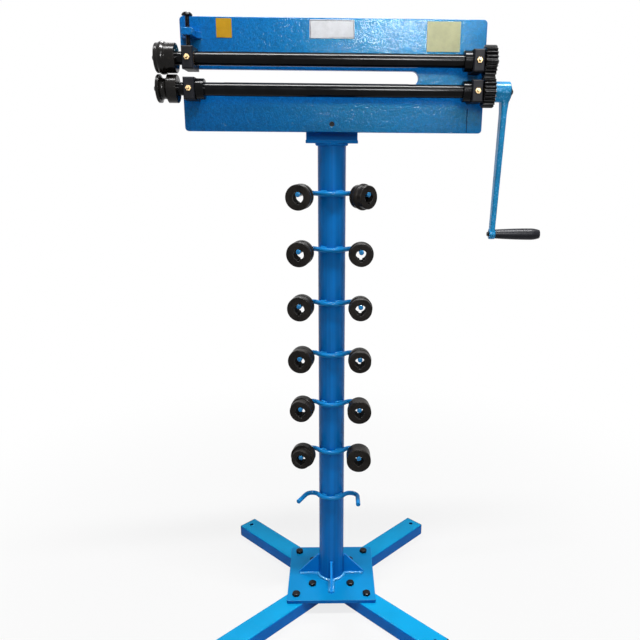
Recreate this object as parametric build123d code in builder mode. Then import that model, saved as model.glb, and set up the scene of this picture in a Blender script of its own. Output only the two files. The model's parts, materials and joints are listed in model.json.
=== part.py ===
"""Hand-cranked bead roller on a floor stand, with spare rolling dies on hook rods.

Millimetres, +Z up. The front of the machine faces -Y and the operator's crank is at +X.
The origin is on the floor, under the middle of the column.
"""

import math
import os

from build123d import *

os.makedirs("parts", exist_ok=True)

# Fits between pieces
running_gap = 0.05
seat_gap = 0.03
bolt_gap = 0.5
rest_gap = 0.3
weld_gap = 0.1

# Legs: four rectangular tubes on the diagonals of the base plate
leg_width = 50.0
leg_height = 30.0
leg_wall = 2.5
leg_corner = 3.0
leg_inner_end = 30.0
leg_outer_end = 322.0
anchor_circle_radius = 307.0
anchor_hole_radius = 5.0
plug_flange = 2.5
plug_depth = 7.0
plug_wall = 2.0
plug_edge = 1.0

# Base plate and its bolts, two to each leg
base_width = 200.0
base_thickness = 8.0
base_corner = 4.0
base_bolt_inner_radius = 62.0
base_bolt_outer_radius = 113.0
bolt_radius = 5.0
bolt_head_width = 16.0
bolt_head_height = 6.4
base_bolt_length = 24.0
nut_height = 8.0

# Column and its gussets
column_radius = 28.5
column_wall = 3.5
column_height = 992.0
gusset_reach = 77.0
gusset_height = 50.0
gusset_thickness = 5.0
gusset_toe = 4.0

# Hook rods: each wraps round the front of the column and ends in two forward tips
rod_radius = 5.0
rod_chamfer = 1.0
hook_count = 7
lowest_hook_rise = 217.5
top_hook_drop = 97.7
tip_length = 34.0
left_wrap = 60.0
left_bend_radius = 17.0
left_splay = 10.0
lowest_left_splay = 27.0
right_wrap = 57.0
right_bend_radius = 17.0
right_splay = 0.0
top_right_splay = 40.0
top_right_bend_radius = 14.0

# Rolling dies: a 22 mm bore with a keyway, and a rim that carries a bead, a groove or a step
die_bore_radius = 11.0
die_edge = 1.2
keyway_width = 6.0
keyway_depth = 2.6
spare_die_width = 34.0
spare_die_overhang = 2.0
grooved_radius = 25.5
beaded_radius = 23.5
groove_slack = 0.6
flange_radius = 26.5
nose_radius = 21.5
bead_sizes = ((12.0, 3.0), (9.0, 2.2), (6.5, 1.6), (4.0, 1.2))

# Column top: a saddle plate with an upright that the head is bolted to
saddle_width = 103.0
saddle_depth = 62.0
saddle_thickness = 6.0
upright_height = 50.0
upright_thickness = 6.0
head_bolt_pitch = 36.0
head_bolt_rise = 15.5
head_bolt_depth = 10.0

# Head plate with its throat slot
head_width = 586.0
head_offset = 4.5
head_height = 208.6
head_thickness = 12.0
head_lift = 15.0
head_back = 2.0
head_corner = 7.0
head_edge = 1.2
throat_depth = 457.0
throat_height = 26.0
throat_drop = 0.4

# Shafts
axis_offset = 36.0
lower_axis_rise = 75.4
axis_spacing = 54.0
arbor_radius = die_bore_radius - seat_gap
journal_radius = 12.0
shoulder_radius = 12.2
shaft_radius = 12.5
left_shoulder_length = 64.0
right_shoulder_length = 129.0
shaft_chamfer = 1.0

# Bearing blocks, bushes and grease nipples
left_block_inset = 22.5
right_block_inset = 23.5
block_width = 21.0
block_height = 40.0
block_front = 20.0
block_edge = 2.0
bush_radius = 14.0
block_bolt_radius = 4.0
block_bolt_head_width = 13.0
block_bolt_head_height = 5.3
block_bolt_drop = 13.0
block_bolt_rise = 3.0
block_bolt_depth = 12.0
shoulder_bolt_radius = 6.0
shoulder_bolt_head_width = 18.0
shoulder_bolt_head_height = 7.0
washer_thickness = 2.0
washer_radius = 12.0
lift_travel = 12.0
nipple_hex_width = 9.0
nipple_hex_height = 4.0
nipple_stem_radius = 3.1
nipple_neck_radius = 1.8
nipple_stem_length = 3.6
nipple_ball_radius = 2.7
nipple_thread_radius = 3.0
nipple_thread_length = 3.5

# Mounted dies
die_standoff = 12.5
mounted_die_width = 38.0
bead_inset = 25.0
upper_rim_radius = 26.6
upper_bead_height = 2.8
die_nip = 1.8
lower_groove_depth = 7.0
bead_width = 14.0
die_screw_flange_radius = 13.0
die_screw_head_radius = 8.5
screw_flange = 2.0
head_dome = 5.0
end_screw_radius = 4.0
end_screw_length = 18.0
end_recess = 0.5

# Shaft collars
left_collar_width = 16.0
left_collar_radius = 19.0
right_collar_width = 15.2
right_collar_radius = 19.0
collar_edge = 1.0

# Meshing gears
gear_separation = 1.5
gear_teeth = 21
gear_face = 21.0
gear_standoff = 2.0
gear_pressure_angle = 20.0
gear_backlash = 0.35
gear_root_depth = 1.25
gear_shift = 0.2
key_height = 5.5
key_seat = 3.2
key_inset = 2.0
drive_screw_flange_radius = 13.0
drive_screw_head_radius = 8.0

# Crank
crank_hub_radius = 19.0
crank_hub_length = 30.5
crank_radius = 270.5
crank_arm_thickness = 11.0
crank_end_thickness = 10.0
crank_lean = 8.0
crank_arm_top_width = 27.0
crank_arm_end_width = 19.0
crank_arm_corner = 3.5
crank_root_thickness = 17.0
crank_root_drop = 38.0
crank_boss_radius = 10.5
crank_boss_thickness = 12.0

# Grip and the spindle it turns on
grip_length = 90.0
grip_neck_radius = 9.0
grip_end_radius = 11.5
grip_swell = 72.0
grip_bow = 0.6
grip_crown_radius = 8.5
spindle_radius = 4.5
spindle_head_radius = 7.0
spindle_head_height = 4.0
spindle_head_recess = 6.0
spindle_peen_radius = 4.0
spindle_peen_length = 3.5

# Adjusting screw, its lug on the head plate and its thrust pad
screw_radius = 4.0
screw_head_radius = 10.0
screw_head_rim = 1.5
screw_head_height = 7.0
screw_head_mid_radius = 7.6
screw_head_top_radius = 4.0
screw_tip_radius = 2.5
screw_rise = 21.6
lug_height = 12.0
lug_clearance = 19.4
lug_front = 12.0
lug_width = 19.0
lug_root = 9.5
lug_root_depth = 18.0
pad_radius = 6.0
pad_thickness = 3.0
pad_slack = 1.5

# Heights and places that follow from the sizes above
base_top = leg_height + base_thickness
column_top = base_top + column_height
lowest_hook = base_top + lowest_hook_rise
hook_spacing = (column_top - top_hook_drop - lowest_hook) / (hook_count - 1)
saddle_top = column_top + saddle_thickness
head_bottom = saddle_top + head_lift
head_left = head_offset - head_width / 2
head_right = head_offset + head_width / 2
head_front = head_back - head_thickness
axis_y = head_front - axis_offset
lower_axis = head_bottom + lower_axis_rise
upper_axis = lower_axis + axis_spacing
throat_level = (lower_axis + upper_axis) / 2 - throat_drop
lower_rim_radius = axis_spacing - upper_rim_radius - die_nip
shaft_levels = {"lower": lower_axis, "upper": upper_axis}
left_block = head_left + left_block_inset
right_block = head_right - right_block_inset
left_shoulder_end = left_block + left_shoulder_length
right_shoulder_start = right_block - right_shoulder_length
die_face = left_block - block_width / 2 - die_standoff
die_end = die_face - mounted_die_width
gear_left = right_block + block_width / 2 + gear_standoff
gear_right = gear_left + gear_face
crank_left = gear_right + rest_gap
crank_right = crank_left + crank_hub_length
block_top = upper_axis + block_height / 2
lug_bottom = block_top + lug_clearance
lug_root_y = head_front - lug_root_depth
block_front_y = axis_y - block_front
tapped_radius = block_bolt_radius + seat_gap
bush_bore = journal_radius + running_gap
block_bolt_rises = (-block_bolt_drop, block_bolt_rise)
diagonals = {"front_right": 315.0, "back_right": 45.0, "back_left": 135.0, "front_left": 225.0}


def save(piece, name):
    """Label one finished piece and write it to its own file."""
    piece.label = name
    export_step(piece, f"parts/{name}.step")


def polar(radius, angle):
    """Point of the floor plan at a radius and an angle in degrees."""
    return radius * math.cos(math.radians(angle)), radius * math.sin(math.radians(angle))


def across(x, height):
    """Plane square to the shafts at a place along them, its own x towards the back."""
    return Plane(origin=(x, axis_y, height), x_dir=(0, 1, 0), z_dir=(1, 0, 0))


def behind(x, y, height):
    """Plane parallel to the head plate, facing the back of the machine."""
    return Plane(origin=(x, y, height), x_dir=(-1, 0, 0), z_dir=(0, 1, 0))


def disc(plane, radius, length, mode=Mode.ADD):
    """Add or cut one round length, standing on a plane."""
    with BuildSketch(plane) as circle:
        Circle(radius)
    extrude(circle.sketch, amount=length, mode=mode)


def hexagon(plane, width, height):
    """Add a six-sided head or nut, standing on a plane."""
    with BuildSketch(plane) as outline:
        RegularPolygon(radius=width / 2, side_count=6, major_radius=False)
    extrude(outline.sketch, amount=height)


def turned(axis_plane, stations):
    """Add a turned shape: stations give a place along the plane's x and a radius there."""
    first = stations[0][0]
    last = stations[-1][0]
    with BuildSketch(axis_plane) as half:
        with BuildLine():
            Polyline((first, 0), *stations, (last, 0), close=True)
        make_face()
    revolve(half.sketch, axis=Axis(axis_plane.origin, axis_plane.x_dir))


def bar(plane, width, length, depth, mode=Mode.ADD):
    """Add or cut a rectangular bar that starts on a plane, such as a key or a keyway."""
    with BuildSketch(plane) as outline:
        Rectangle(width, length)
    extrude(outline.sketch, amount=depth, mode=mode)


def leg_section(angle, distance):
    """Plane across a leg at a distance from the column, with its own y upwards."""
    x, y = polar(distance, angle)
    side = polar(1, angle + 90)
    return Plane(origin=(x, y, leg_height / 2), x_dir=(*side, 0), z_dir=(*polar(1, angle), 0))


# Legs, each with two bolt holes in its top wall and an anchor hole right through
for corner, angle in diagonals.items():
    with BuildPart() as leg:
        with BuildSketch(leg_section(angle, leg_inner_end)):
            RectangleRounded(leg_width, leg_height, leg_corner)
            Rectangle(leg_width - 2 * leg_wall, leg_height - 2 * leg_wall, mode=Mode.SUBTRACT)
        extrude(amount=leg_outer_end - leg_inner_end)
        with BuildSketch(Plane.XY.offset(leg_height)):
            with Locations(polar(base_bolt_inner_radius, angle), polar(base_bolt_outer_radius, angle)):
                Circle(bolt_radius + bolt_gap)
        extrude(amount=-2 * leg_wall, mode=Mode.SUBTRACT)
        with BuildSketch():
            with Locations(polar(anchor_circle_radius, angle)):
                Circle(anchor_hole_radius)
        extrude(amount=leg_height, mode=Mode.SUBTRACT)
    save(leg.part, f"leg_{corner}")

# Push-in end plugs of the legs
plug_width = leg_width - 2 * (leg_wall + seat_gap)
plug_height = leg_height - 2 * (leg_wall + seat_gap)
with BuildPart() as leg_plugs:
    for angle in diagonals.values():
        with BuildSketch(leg_section(angle, leg_outer_end)):
            RectangleRounded(leg_width, leg_height, leg_corner)
        extrude(amount=plug_flange, taper=math.degrees(math.atan(plug_edge / plug_flange)))
        with BuildSketch(leg_section(angle, leg_outer_end)):
            Rectangle(plug_width, plug_height)
            Rectangle(plug_width - 2 * plug_wall, plug_height - 2 * plug_wall, mode=Mode.SUBTRACT)
        extrude(amount=-plug_depth)
save(leg_plugs.part, "leg_plugs")

# Base plate
bolt_points = []
for angle in diagonals.values():
    bolt_points.append(polar(base_bolt_inner_radius, angle))
    bolt_points.append(polar(base_bolt_outer_radius, angle))
with BuildPart() as base_plate:
    with BuildSketch(Plane.XY.offset(leg_height)):
        RectangleRounded(base_width, base_width, base_corner)
        with Locations(*bolt_points):
            Circle(bolt_radius + bolt_gap, mode=Mode.SUBTRACT)
    extrude(amount=base_thickness)
save(base_plate.part, "base_plate")

# Bolts through the base plate, and the nuts that they meet inside the legs
with BuildPart() as base_bolts:
    for point in bolt_points:
        seat = Plane(origin=(*point, base_top))
        hexagon(seat, bolt_head_width, bolt_head_height)
        disc(seat, bolt_radius, -base_bolt_length)
save(base_bolts.part, "base_bolts")

with BuildPart() as base_nuts:
    for point in bolt_points:
        seat = Plane(origin=(*point, leg_height - leg_wall - nut_height))
        hexagon(seat, bolt_head_width, nut_height)
        disc(seat, bolt_radius + seat_gap, nut_height, Mode.SUBTRACT)
save(base_nuts.part, "base_nuts")

# Column
with BuildPart() as column:
    with BuildSketch(Plane.XY.offset(base_top)):
        Circle(column_radius)
        Circle(column_radius - column_wall, mode=Mode.SUBTRACT)
    extrude(amount=column_height)
save(column.part, "column")

# Gussets between the base plate and the column
gusset_inner = column_radius + weld_gap
with BuildPart() as gussets:
    for angle in (0.0, 90.0, 180.0, 270.0):
        upright_plane = Plane(
            origin=(0, 0, base_top), x_dir=(*polar(1, angle), 0), z_dir=(*polar(1, angle - 90), 0)
        )
        with BuildSketch(upright_plane):
            with BuildLine():
                Polyline(
                    (gusset_inner, 0),
                    (gusset_reach, 0),
                    (gusset_reach, gusset_toe),
                    (gusset_inner + gusset_toe, gusset_height),
                    (gusset_inner, gusset_height),
                    close=True,
                )
            make_face()
        extrude(amount=gusset_thickness / 2, both=True)
save(gussets.part, "gussets")

# Hook rods
wrap_radius = column_radius + rod_radius + weld_gap


def horn(side, wrap, bend_radius, splay, height):
    """Points of one horn at its height: off the column, round its bend and out to its tip."""
    reach = wrap_radius + bend_radius
    centre = Vector(*polar(reach, wrap - 90))
    leave = Vector(*polar(wrap_radius, wrap - 90))
    bend_middle = centre + Vector(*polar(bend_radius, (90 + wrap + splay) / 2))
    bend_end = centre + Vector(*polar(bend_radius, splay))
    tip = bend_end + Vector(*polar(tip_length, splay - 90))
    points = [leave, bend_middle, bend_end, tip]
    return [Vector(side * point.X, point.Y, height) for point in points]


def bent_rod(left, right):
    """Sweep one rod along its two horns and the front of the column between them."""
    with BuildPart() as rod:
        with BuildLine() as centre_line:
            Line(left[3], left[2])
            ThreePointArc(left[2], left[1], left[0])
            ThreePointArc(left[0], (0, -wrap_radius, left[0].Z), right[0])
            ThreePointArc(right[0], right[1], right[2])
            Line(right[2], right[3])
        with BuildSketch(Plane(origin=left[3], z_dir=left[2] - left[3])):
            Circle(rod_radius)
        sweep(path=centre_line.line)
        tips = rod.faces().filter_by(GeomType.PLANE)
        chamfer(tips.edges(), rod_chamfer)
    return rod.part


horns = []
for row in range(hook_count):
    height = lowest_hook + hook_spacing * row
    outward = lowest_left_splay if row == 0 else left_splay
    left = horn(-1, left_wrap, left_bend_radius, outward, height)
    right = horn(1, right_wrap, right_bend_radius, right_splay, height)
    if row == hook_count - 1:
        right = horn(1, right_wrap, top_right_bend_radius, top_right_splay, height)
    horns.append((left, right))

with BuildPart() as hook_rods:
    for left, right in horns[:-1]:
        add(bent_rod(left, right))
save(hook_rods.part, "hook_rods")

# The top rod is bent further out at its right
save(bent_rod(*horns[-1]), "top_hook_rod")

# Spare dies: a grooved die on each left tip and its beaded mate on the right, above the empty hook
die_drop = die_bore_radius - rod_radius - rest_gap


def die_rim(width, back_radius, front_radius, middle, bead, height):
    """Section of a die from its back face to its front face, with a bead, groove or step."""
    foot = middle - bead / 2
    head = middle + bead / 2
    Polyline((0, die_bore_radius), (0, back_radius - die_edge), (die_edge, back_radius), (foot, back_radius))
    if height:
        ThreePointArc((foot, back_radius), (middle, back_radius + height), (head, front_radius))
    else:
        Line((foot, back_radius), (head, front_radius))
    Polyline(
        (head, front_radius),
        (width - die_edge, front_radius),
        (width, front_radius - die_edge),
        (width, die_bore_radius),
        (0, die_bore_radius),
    )


def turned_die(section_plane, width, rim):
    """Add a die with its keyway, turned about its section plane's own x."""
    with BuildSketch(section_plane) as section:
        with BuildLine():
            die_rim(width, *rim)
        make_face()
    revolve(section.sketch, axis=Axis(section_plane.origin, section_plane.x_dir))
    keyway_floor = section_plane.from_local_coords((width / 2, die_bore_radius / 2))
    keyway_plane = Plane(origin=keyway_floor, x_dir=section_plane.z_dir, z_dir=section_plane.y_dir)
    bar(keyway_plane, keyway_width, width, die_bore_radius / 2 + keyway_depth, Mode.SUBTRACT)


def spare_die_plane(row, side):
    """Section plane of the die on one tip: own x along the tip, own y downwards."""
    left, right = horns[row]
    points = left if side == "left" else right
    outward = (points[3] - points[2]).normalized()
    back = points[3] + outward * (spare_die_overhang - spare_die_width)
    sideways = outward.cross(Vector(0, 0, -1))
    return Plane(origin=back - Vector(0, 0, die_drop), x_dir=outward, z_dir=sideways)


def spare_die_rim(rank, side):
    """Rim sizes of a spare die: round beads first, then a joggle pair and a flanging pair."""
    middle = spare_die_width / 2
    if rank < len(bead_sizes):
        width, height = bead_sizes[rank]
        if side == "left":
            return grooved_radius, grooved_radius, middle, width + groove_slack, -height - groove_slack
        return beaded_radius, beaded_radius, middle, width, height
    if rank == len(bead_sizes):
        if side == "left":
            return grooved_radius, beaded_radius, middle, die_edge, 0.0
        return beaded_radius, grooved_radius, middle, die_edge, 0.0
    if side == "left":
        return flange_radius, nose_radius, middle, die_edge, 0.0
    return flange_radius, flange_radius, middle, die_edge, 0.0


for rank in range(hook_count - 1):
    row = hook_count - 1 - rank
    for side, role in (("left", "grooved"), ("right", "beaded")):
        with BuildPart() as spare_die:
            turned_die(spare_die_plane(row, side), spare_die_width, spare_die_rim(rank, side))
        save(spare_die.part, f"{role}_die_{rank + 1}")

# Saddle plate on the column and the upright welded to it
with BuildPart() as saddle_plate:
    with BuildSketch(Plane.XY.offset(column_top)):
        RectangleRounded(saddle_width, saddle_depth, base_corner)
    extrude(amount=saddle_thickness)
save(saddle_plate.part, "saddle_plate")

head_bolt_height = head_bottom + head_bolt_rise
upright_back = head_back + upright_thickness
with BuildPart() as head_upright:
    with BuildSketch(behind(0, head_back, saddle_top + upright_height / 2)):
        Rectangle(saddle_width, upright_height)
    extrude(amount=upright_thickness)
    for x in (-head_bolt_pitch, 0, head_bolt_pitch):
        disc(behind(x, head_back, head_bolt_height), bolt_radius + bolt_gap, upright_thickness, Mode.SUBTRACT)
save(head_upright.part, "head_upright")

with BuildPart() as head_bolts:
    for x in (-head_bolt_pitch, 0, head_bolt_pitch):
        seat = behind(x, upright_back, head_bolt_height)
        hexagon(seat, bolt_head_width, bolt_head_height)
        disc(seat, bolt_radius, -upright_thickness - head_bolt_depth + running_gap)
save(head_bolts.part, "head_bolts")

# Head plate: throat slot, lug for the adjusting screw, and the holes that the blocks use
throat_radius = throat_height / 2
throat_length = throat_depth - throat_radius
lug_left = left_block - lug_width / 2
lug_right = left_block + lug_width / 2
head_face = Plane.XZ.offset(-head_back)
with BuildPart() as head_plate:
    with BuildSketch(head_face):
        with Locations((head_offset, head_bottom + head_height / 2)):
            RectangleRounded(head_width, head_height, head_corner)
        with Locations((head_left + throat_length / 2, throat_level)):
            Rectangle(throat_length, throat_height, mode=Mode.SUBTRACT)
        with Locations((head_left + throat_length, throat_level)):
            Circle(throat_radius, mode=Mode.SUBTRACT)
    extrude(amount=head_thickness)
    front_rim = head_plate.faces().sort_by(Axis.Y)[0].outer_wire().edges()
    fillet(front_rim, head_edge)
    with BuildSketch(Plane.XY.offset(lug_bottom)):
        with BuildLine():
            right_root = Line((lug_right, axis_y - lug_front), (lug_right, lug_root_y))
            right_flare = TangentArc(right_root @ 1, (lug_right + lug_root, head_front), tangent=(0, 1))
            left_root = Line((lug_left, axis_y - lug_front), (lug_left, lug_root_y))
            left_flare = TangentArc(left_root @ 1, (lug_left - lug_root, head_front), tangent=(0, 1))
            Line(left_root @ 0, right_root @ 0)
            Polyline(
                right_flare @ 1,
                (lug_right + lug_root, head_front + head_thickness / 2),
                (lug_left - lug_root, head_front + head_thickness / 2),
                left_flare @ 1,
            )
        make_face()
        with Locations((left_block, axis_y)):
            Circle(screw_radius + running_gap, mode=Mode.SUBTRACT)
    extrude(amount=lug_height)
    with BuildSketch(head_face):
        with Locations((left_block, upper_axis + lift_travel / 2)):
            SlotCenterToCenter(lift_travel, 2 * (shoulder_bolt_radius + rest_gap), rotation=90)
        with Locations((right_block, upper_axis)):
            Circle(shoulder_bolt_radius + running_gap)
        for x in (left_block, right_block):
            for rise in block_bolt_rises:
                with Locations((x, lower_axis + rise)):
                    Circle(block_bolt_radius + bolt_gap)
        with Locations((0, head_bolt_height)):
            Circle(bolt_radius + seat_gap)
    extrude(amount=head_thickness, mode=Mode.SUBTRACT)
    with BuildSketch(head_face):
        with Locations((-head_bolt_pitch, head_bolt_height), (head_bolt_pitch, head_bolt_height)):
            Circle(bolt_radius + seat_gap)
    extrude(amount=head_bolt_depth, mode=Mode.SUBTRACT)
save(head_plate.part, "head_plate")

# Bearing blocks with bushes and grease nipples
for level_name, level in shaft_levels.items():
    slides = level_name == "upper"
    block_back = head_front - rest_gap if slides else head_front
    for side, x in (("left", left_block), ("right", right_block)):
        with BuildPart() as block:
            with BuildSketch(Plane.XZ.offset(-block_back)):
                with Locations((x, level)):
                    Rectangle(block_width, block_height)
            extrude(amount=block_back - block_front_y)
            chamfer(block.faces().sort_by(Axis.Y)[0].edges(), block_edge)
            disc(across(x - block_width / 2, level), bush_radius + seat_gap, block_width, Mode.SUBTRACT)
            nipple_mouth = behind(x, block_front_y, level)
            disc(nipple_mouth, nipple_thread_radius + seat_gap, block_front, Mode.SUBTRACT)
            if slides:
                disc(behind(x, block_back, level), tapped_radius, -block_bolt_depth, Mode.SUBTRACT)
            else:
                for rise in block_bolt_rises:
                    disc(behind(x, block_back, level + rise), tapped_radius, -block_bolt_depth, Mode.SUBTRACT)
            if slides and side == "left":
                pocket = Plane(origin=(x, axis_y, block_top))
                disc(pocket, pad_radius + pad_slack, -pad_thickness - rest_gap, Mode.SUBTRACT)
        save(block.part, f"{level_name}_{side}_block")

    with BuildPart() as bushes:
        for x in (left_block, right_block):
            disc(across(x - block_width / 2, level), bush_radius, block_width)
            disc(across(x - block_width / 2, level), bush_bore, block_width, Mode.SUBTRACT)
    save(bushes.part, f"{level_name}_bushes")

    with BuildPart() as grease_nipples:
        for x in (left_block, right_block):
            seat = Plane(origin=(x, block_front_y, level), x_dir=(1, 0, 0), z_dir=(0, -1, 0))
            hexagon(seat, nipple_hex_width, nipple_hex_height)
            disc(seat, nipple_thread_radius, -nipple_thread_length)
            turned(
                Plane(origin=seat.origin, x_dir=seat.z_dir, z_dir=seat.x_dir),
                [
                    (nipple_hex_height / 2, nipple_stem_radius),
                    (nipple_hex_height + nipple_stem_length / 2, nipple_neck_radius),
                    (nipple_hex_height + nipple_stem_length, nipple_ball_radius),
                    (nipple_hex_height + nipple_stem_length + nipple_ball_radius, nipple_neck_radius),
                ],
            )
    save(grease_nipples.part, f"{level_name}_grease_nipples")

with BuildPart() as lower_block_bolts:
    for x in (left_block, right_block):
        for rise in block_bolt_rises:
            seat = behind(x, head_back, lower_axis + rise)
            hexagon(seat, block_bolt_head_width, block_bolt_head_height)
            disc(seat, block_bolt_radius, -head_thickness - block_bolt_depth + running_gap)
save(lower_block_bolts.part, "lower_block_bolts")

# Shoulder bolts that the upper blocks hang on: the right one is the pivot of the upper shaft
with BuildPart() as shoulder_bolts:
    for x in (left_block, right_block):
        seat = behind(x, head_back + rest_gap, upper_axis)
        disc(seat, washer_radius, washer_thickness)
        hexagon(seat.offset(washer_thickness), shoulder_bolt_head_width, shoulder_bolt_head_height)
        disc(seat, shoulder_bolt_radius, -head_thickness - 2 * rest_gap)
        disc(seat, block_bolt_radius, -head_thickness - 2 * rest_gap - block_bolt_depth + running_gap)
save(shoulder_bolts.part, "shoulder_bolts")

# Shafts
left_block_inner = left_block + block_width / 2 + rest_gap
right_block_inner = right_block - block_width / 2 - rest_gap
shaft_ends = {"lower": crank_right - end_recess, "upper": gear_right - end_recess}
shaft_start = die_end + end_recess
key_floor = arbor_radius - key_seat
die_key_length = mounted_die_width - 2 * key_inset


def shaft_plane(level):
    """Section plane of a shaft: own x along it, own y upwards."""
    return Plane(origin=(0, axis_y, level), x_dir=(1, 0, 0), z_dir=(0, -1, 0))


def key_plane(x, level, rise):
    """Plane under a key: its own x across the shaft, facing up."""
    return Plane(origin=(x, axis_y, level + rise), x_dir=(0, 1, 0), z_dir=(0, 0, 1))


for level_name, level in shaft_levels.items():
    shaft_end = shaft_ends[level_name]
    drive_key_length = shaft_end - gear_left - 2 * key_inset
    key_places = [
        ((die_end + die_face) / 2, die_key_length),
        ((gear_left + shaft_end) / 2, drive_key_length),
    ]
    with BuildPart() as shaft:
        turned(
            shaft_plane(level),
            [
                (shaft_start, arbor_radius - shaft_chamfer),
                (shaft_start + shaft_chamfer, arbor_radius),
                (die_face, arbor_radius),
                (die_face, journal_radius),
                (left_block_inner, journal_radius),
                (left_block_inner, shoulder_radius),
                (left_shoulder_end, shoulder_radius),
                (left_shoulder_end, shaft_radius),
                (right_shoulder_start, shaft_radius),
                (right_shoulder_start, shoulder_radius),
                (right_block_inner, shoulder_radius),
                (right_block_inner, journal_radius),
                (gear_left, journal_radius),
                (gear_left, arbor_radius),
                (shaft_end - shaft_chamfer, arbor_radius),
                (shaft_end, arbor_radius - shaft_chamfer),
            ],
        )
        for x, length in key_places:
            bar(
                key_plane(x, level, key_floor),
                keyway_width,
                length + 2 * seat_gap,
                arbor_radius,
                Mode.SUBTRACT,
            )
        disc(across(shaft_start, level), end_screw_radius + seat_gap, end_screw_length, Mode.SUBTRACT)
        disc(across(shaft_end, level), end_screw_radius + seat_gap, -end_screw_length, Mode.SUBTRACT)
    save(shaft.part, f"{level_name}_shaft")

    with BuildPart() as keys:
        for x, length in key_places:
            bar(key_plane(x, level, key_floor + seat_gap), keyway_width - 2 * seat_gap, length, key_height)
    save(keys.part, f"{level_name}_keys")

# Mounted dies: the upper one carries the bead and the lower one its groove
bead_middle = mounted_die_width - bead_inset
mounted_rims = {
    "upper": (upper_rim_radius, upper_rim_radius, bead_middle, bead_width, upper_bead_height),
    "lower": (lower_rim_radius, lower_rim_radius, bead_middle, bead_width, -lower_groove_depth),
}
for level_name, level in shaft_levels.items():
    with BuildPart() as mounted_die:
        section_plane = Plane(origin=(die_end, axis_y, level), x_dir=(1, 0, 0), z_dir=(0, -1, 0))
        turned_die(section_plane, mounted_die_width, mounted_rims[level_name])
    save(mounted_die.part, f"{level_name}_die")


def end_screw(plane, washer_radius, head_radius):
    """Add a screw for a shaft end: threaded shank, washer flange and a domed head."""
    outward = Plane(origin=plane.origin, x_dir=plane.z_dir, z_dir=plane.x_dir)
    turned(
        outward,
        [
            (end_recess + running_gap - end_screw_length, end_screw_radius),
            (0, end_screw_radius),
            (0, washer_radius),
            (screw_flange, washer_radius),
            (screw_flange, head_radius),
            (screw_flange + head_dome / 2, head_radius - head_dome / 4),
            (screw_flange + head_dome, head_radius - head_dome),
        ],
    )


def facing_left(x, level):
    """Plane square to the shafts that faces the die end."""
    return Plane(origin=(x, axis_y, level), x_dir=(0, -1, 0), z_dir=(-1, 0, 0))


drive_ends = {"lower": crank_right, "upper": gear_right}
for level_name, level in shaft_levels.items():
    with BuildPart() as end_screws:
        end_screw(facing_left(die_end, level), die_screw_flange_radius, die_screw_head_radius)
        end_screw(across(drive_ends[level_name], level), drive_screw_flange_radius, drive_screw_head_radius)
    save(end_screws.part, f"{level_name}_end_screws")


def collar(x, level, width, radius):
    """Add a shaft collar that starts at a place along its shaft."""
    turned(
        Plane(origin=(x, axis_y, level), x_dir=(1, 0, 0), z_dir=(0, -1, 0)),
        [
            (0, radius - collar_edge),
            (collar_edge, radius),
            (width - collar_edge, radius),
            (width, radius - collar_edge),
        ],
    )
    disc(across(x, level), shoulder_radius + seat_gap, width, Mode.SUBTRACT)


with BuildPart() as lower_collars:
    collar(left_block_inner, lower_axis, left_collar_width, left_collar_radius)
    collar(right_block_inner - right_collar_width, lower_axis, right_collar_width, right_collar_radius)
save(lower_collars.part, "lower_collars")

with BuildPart() as upper_collar:
    collar(right_block_inner - right_collar_width, upper_axis, right_collar_width, right_collar_radius)
save(upper_collar.part, "upper_collar")

# Gears: involute teeth, with a tooth of the upper gear in a gap of the lower one
pitch_radius = (axis_spacing - gear_separation) / 2
gear_module = 2 * pitch_radius / gear_teeth
base_radius = pitch_radius * math.cos(math.radians(gear_pressure_angle))
tip_radius = pitch_radius + (1 + gear_shift) * gear_module
root_radius = pitch_radius - (gear_root_depth - gear_shift) * gear_module
tooth_pitch = 360 / gear_teeth
shift_gain = gear_shift * gear_module * math.tan(math.radians(gear_pressure_angle))
half_tooth = tooth_pitch / 4 + math.degrees((shift_gain - gear_backlash / 2) / pitch_radius)


def involute(radius):
    """Angle in degrees that an involute turns through between its base circle and a radius."""
    roll = math.acos(min(1.0, base_radius / radius))
    return math.degrees(math.tan(roll) - roll)


def flank(radius):
    """Angle between a tooth's middle and its flank at a radius."""
    return half_tooth + involute(pitch_radius) - involute(max(radius, base_radius))


def gear_outline(first_tooth):
    """Outline of the gear, tooth by tooth, round its own centre."""
    middle_radius = (base_radius + tip_radius) / 2
    for tooth in range(gear_teeth):
        angle = first_tooth + tooth * tooth_pitch
        root_in = polar(root_radius, angle - flank(root_radius))
        base_in = polar(base_radius, angle - flank(base_radius))
        tip_in = polar(tip_radius, angle - flank(tip_radius))
        tip_out = polar(tip_radius, angle + flank(tip_radius))
        base_out = polar(base_radius, angle + flank(base_radius))
        root_out = polar(root_radius, angle + flank(root_radius))
        next_root = polar(root_radius, angle + tooth_pitch - flank(root_radius))
        Line(root_in, base_in)
        ThreePointArc(base_in, polar(middle_radius, angle - flank(middle_radius)), tip_in)
        Line(tip_in, tip_out)
        ThreePointArc(tip_out, polar(middle_radius, angle + flank(middle_radius)), base_out)
        Polyline(base_out, root_out, next_root)


first_teeth = {"upper": -90.0, "lower": 90.0 + tooth_pitch / 2}
for level_name, level in shaft_levels.items():
    with BuildPart() as gear:
        with BuildSketch(across(gear_left, level)):
            with BuildLine():
                gear_outline(first_teeth[level_name])
            make_face()
            Circle(die_bore_radius, mode=Mode.SUBTRACT)
        extrude(amount=gear_face)
        keyway_plane = key_plane(gear_left + gear_face / 2, level, die_bore_radius / 2)
        bar(keyway_plane, keyway_width, gear_face, die_bore_radius / 2 + keyway_depth, Mode.SUBTRACT)
    save(gear.part, f"{level_name}_gear")

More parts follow.
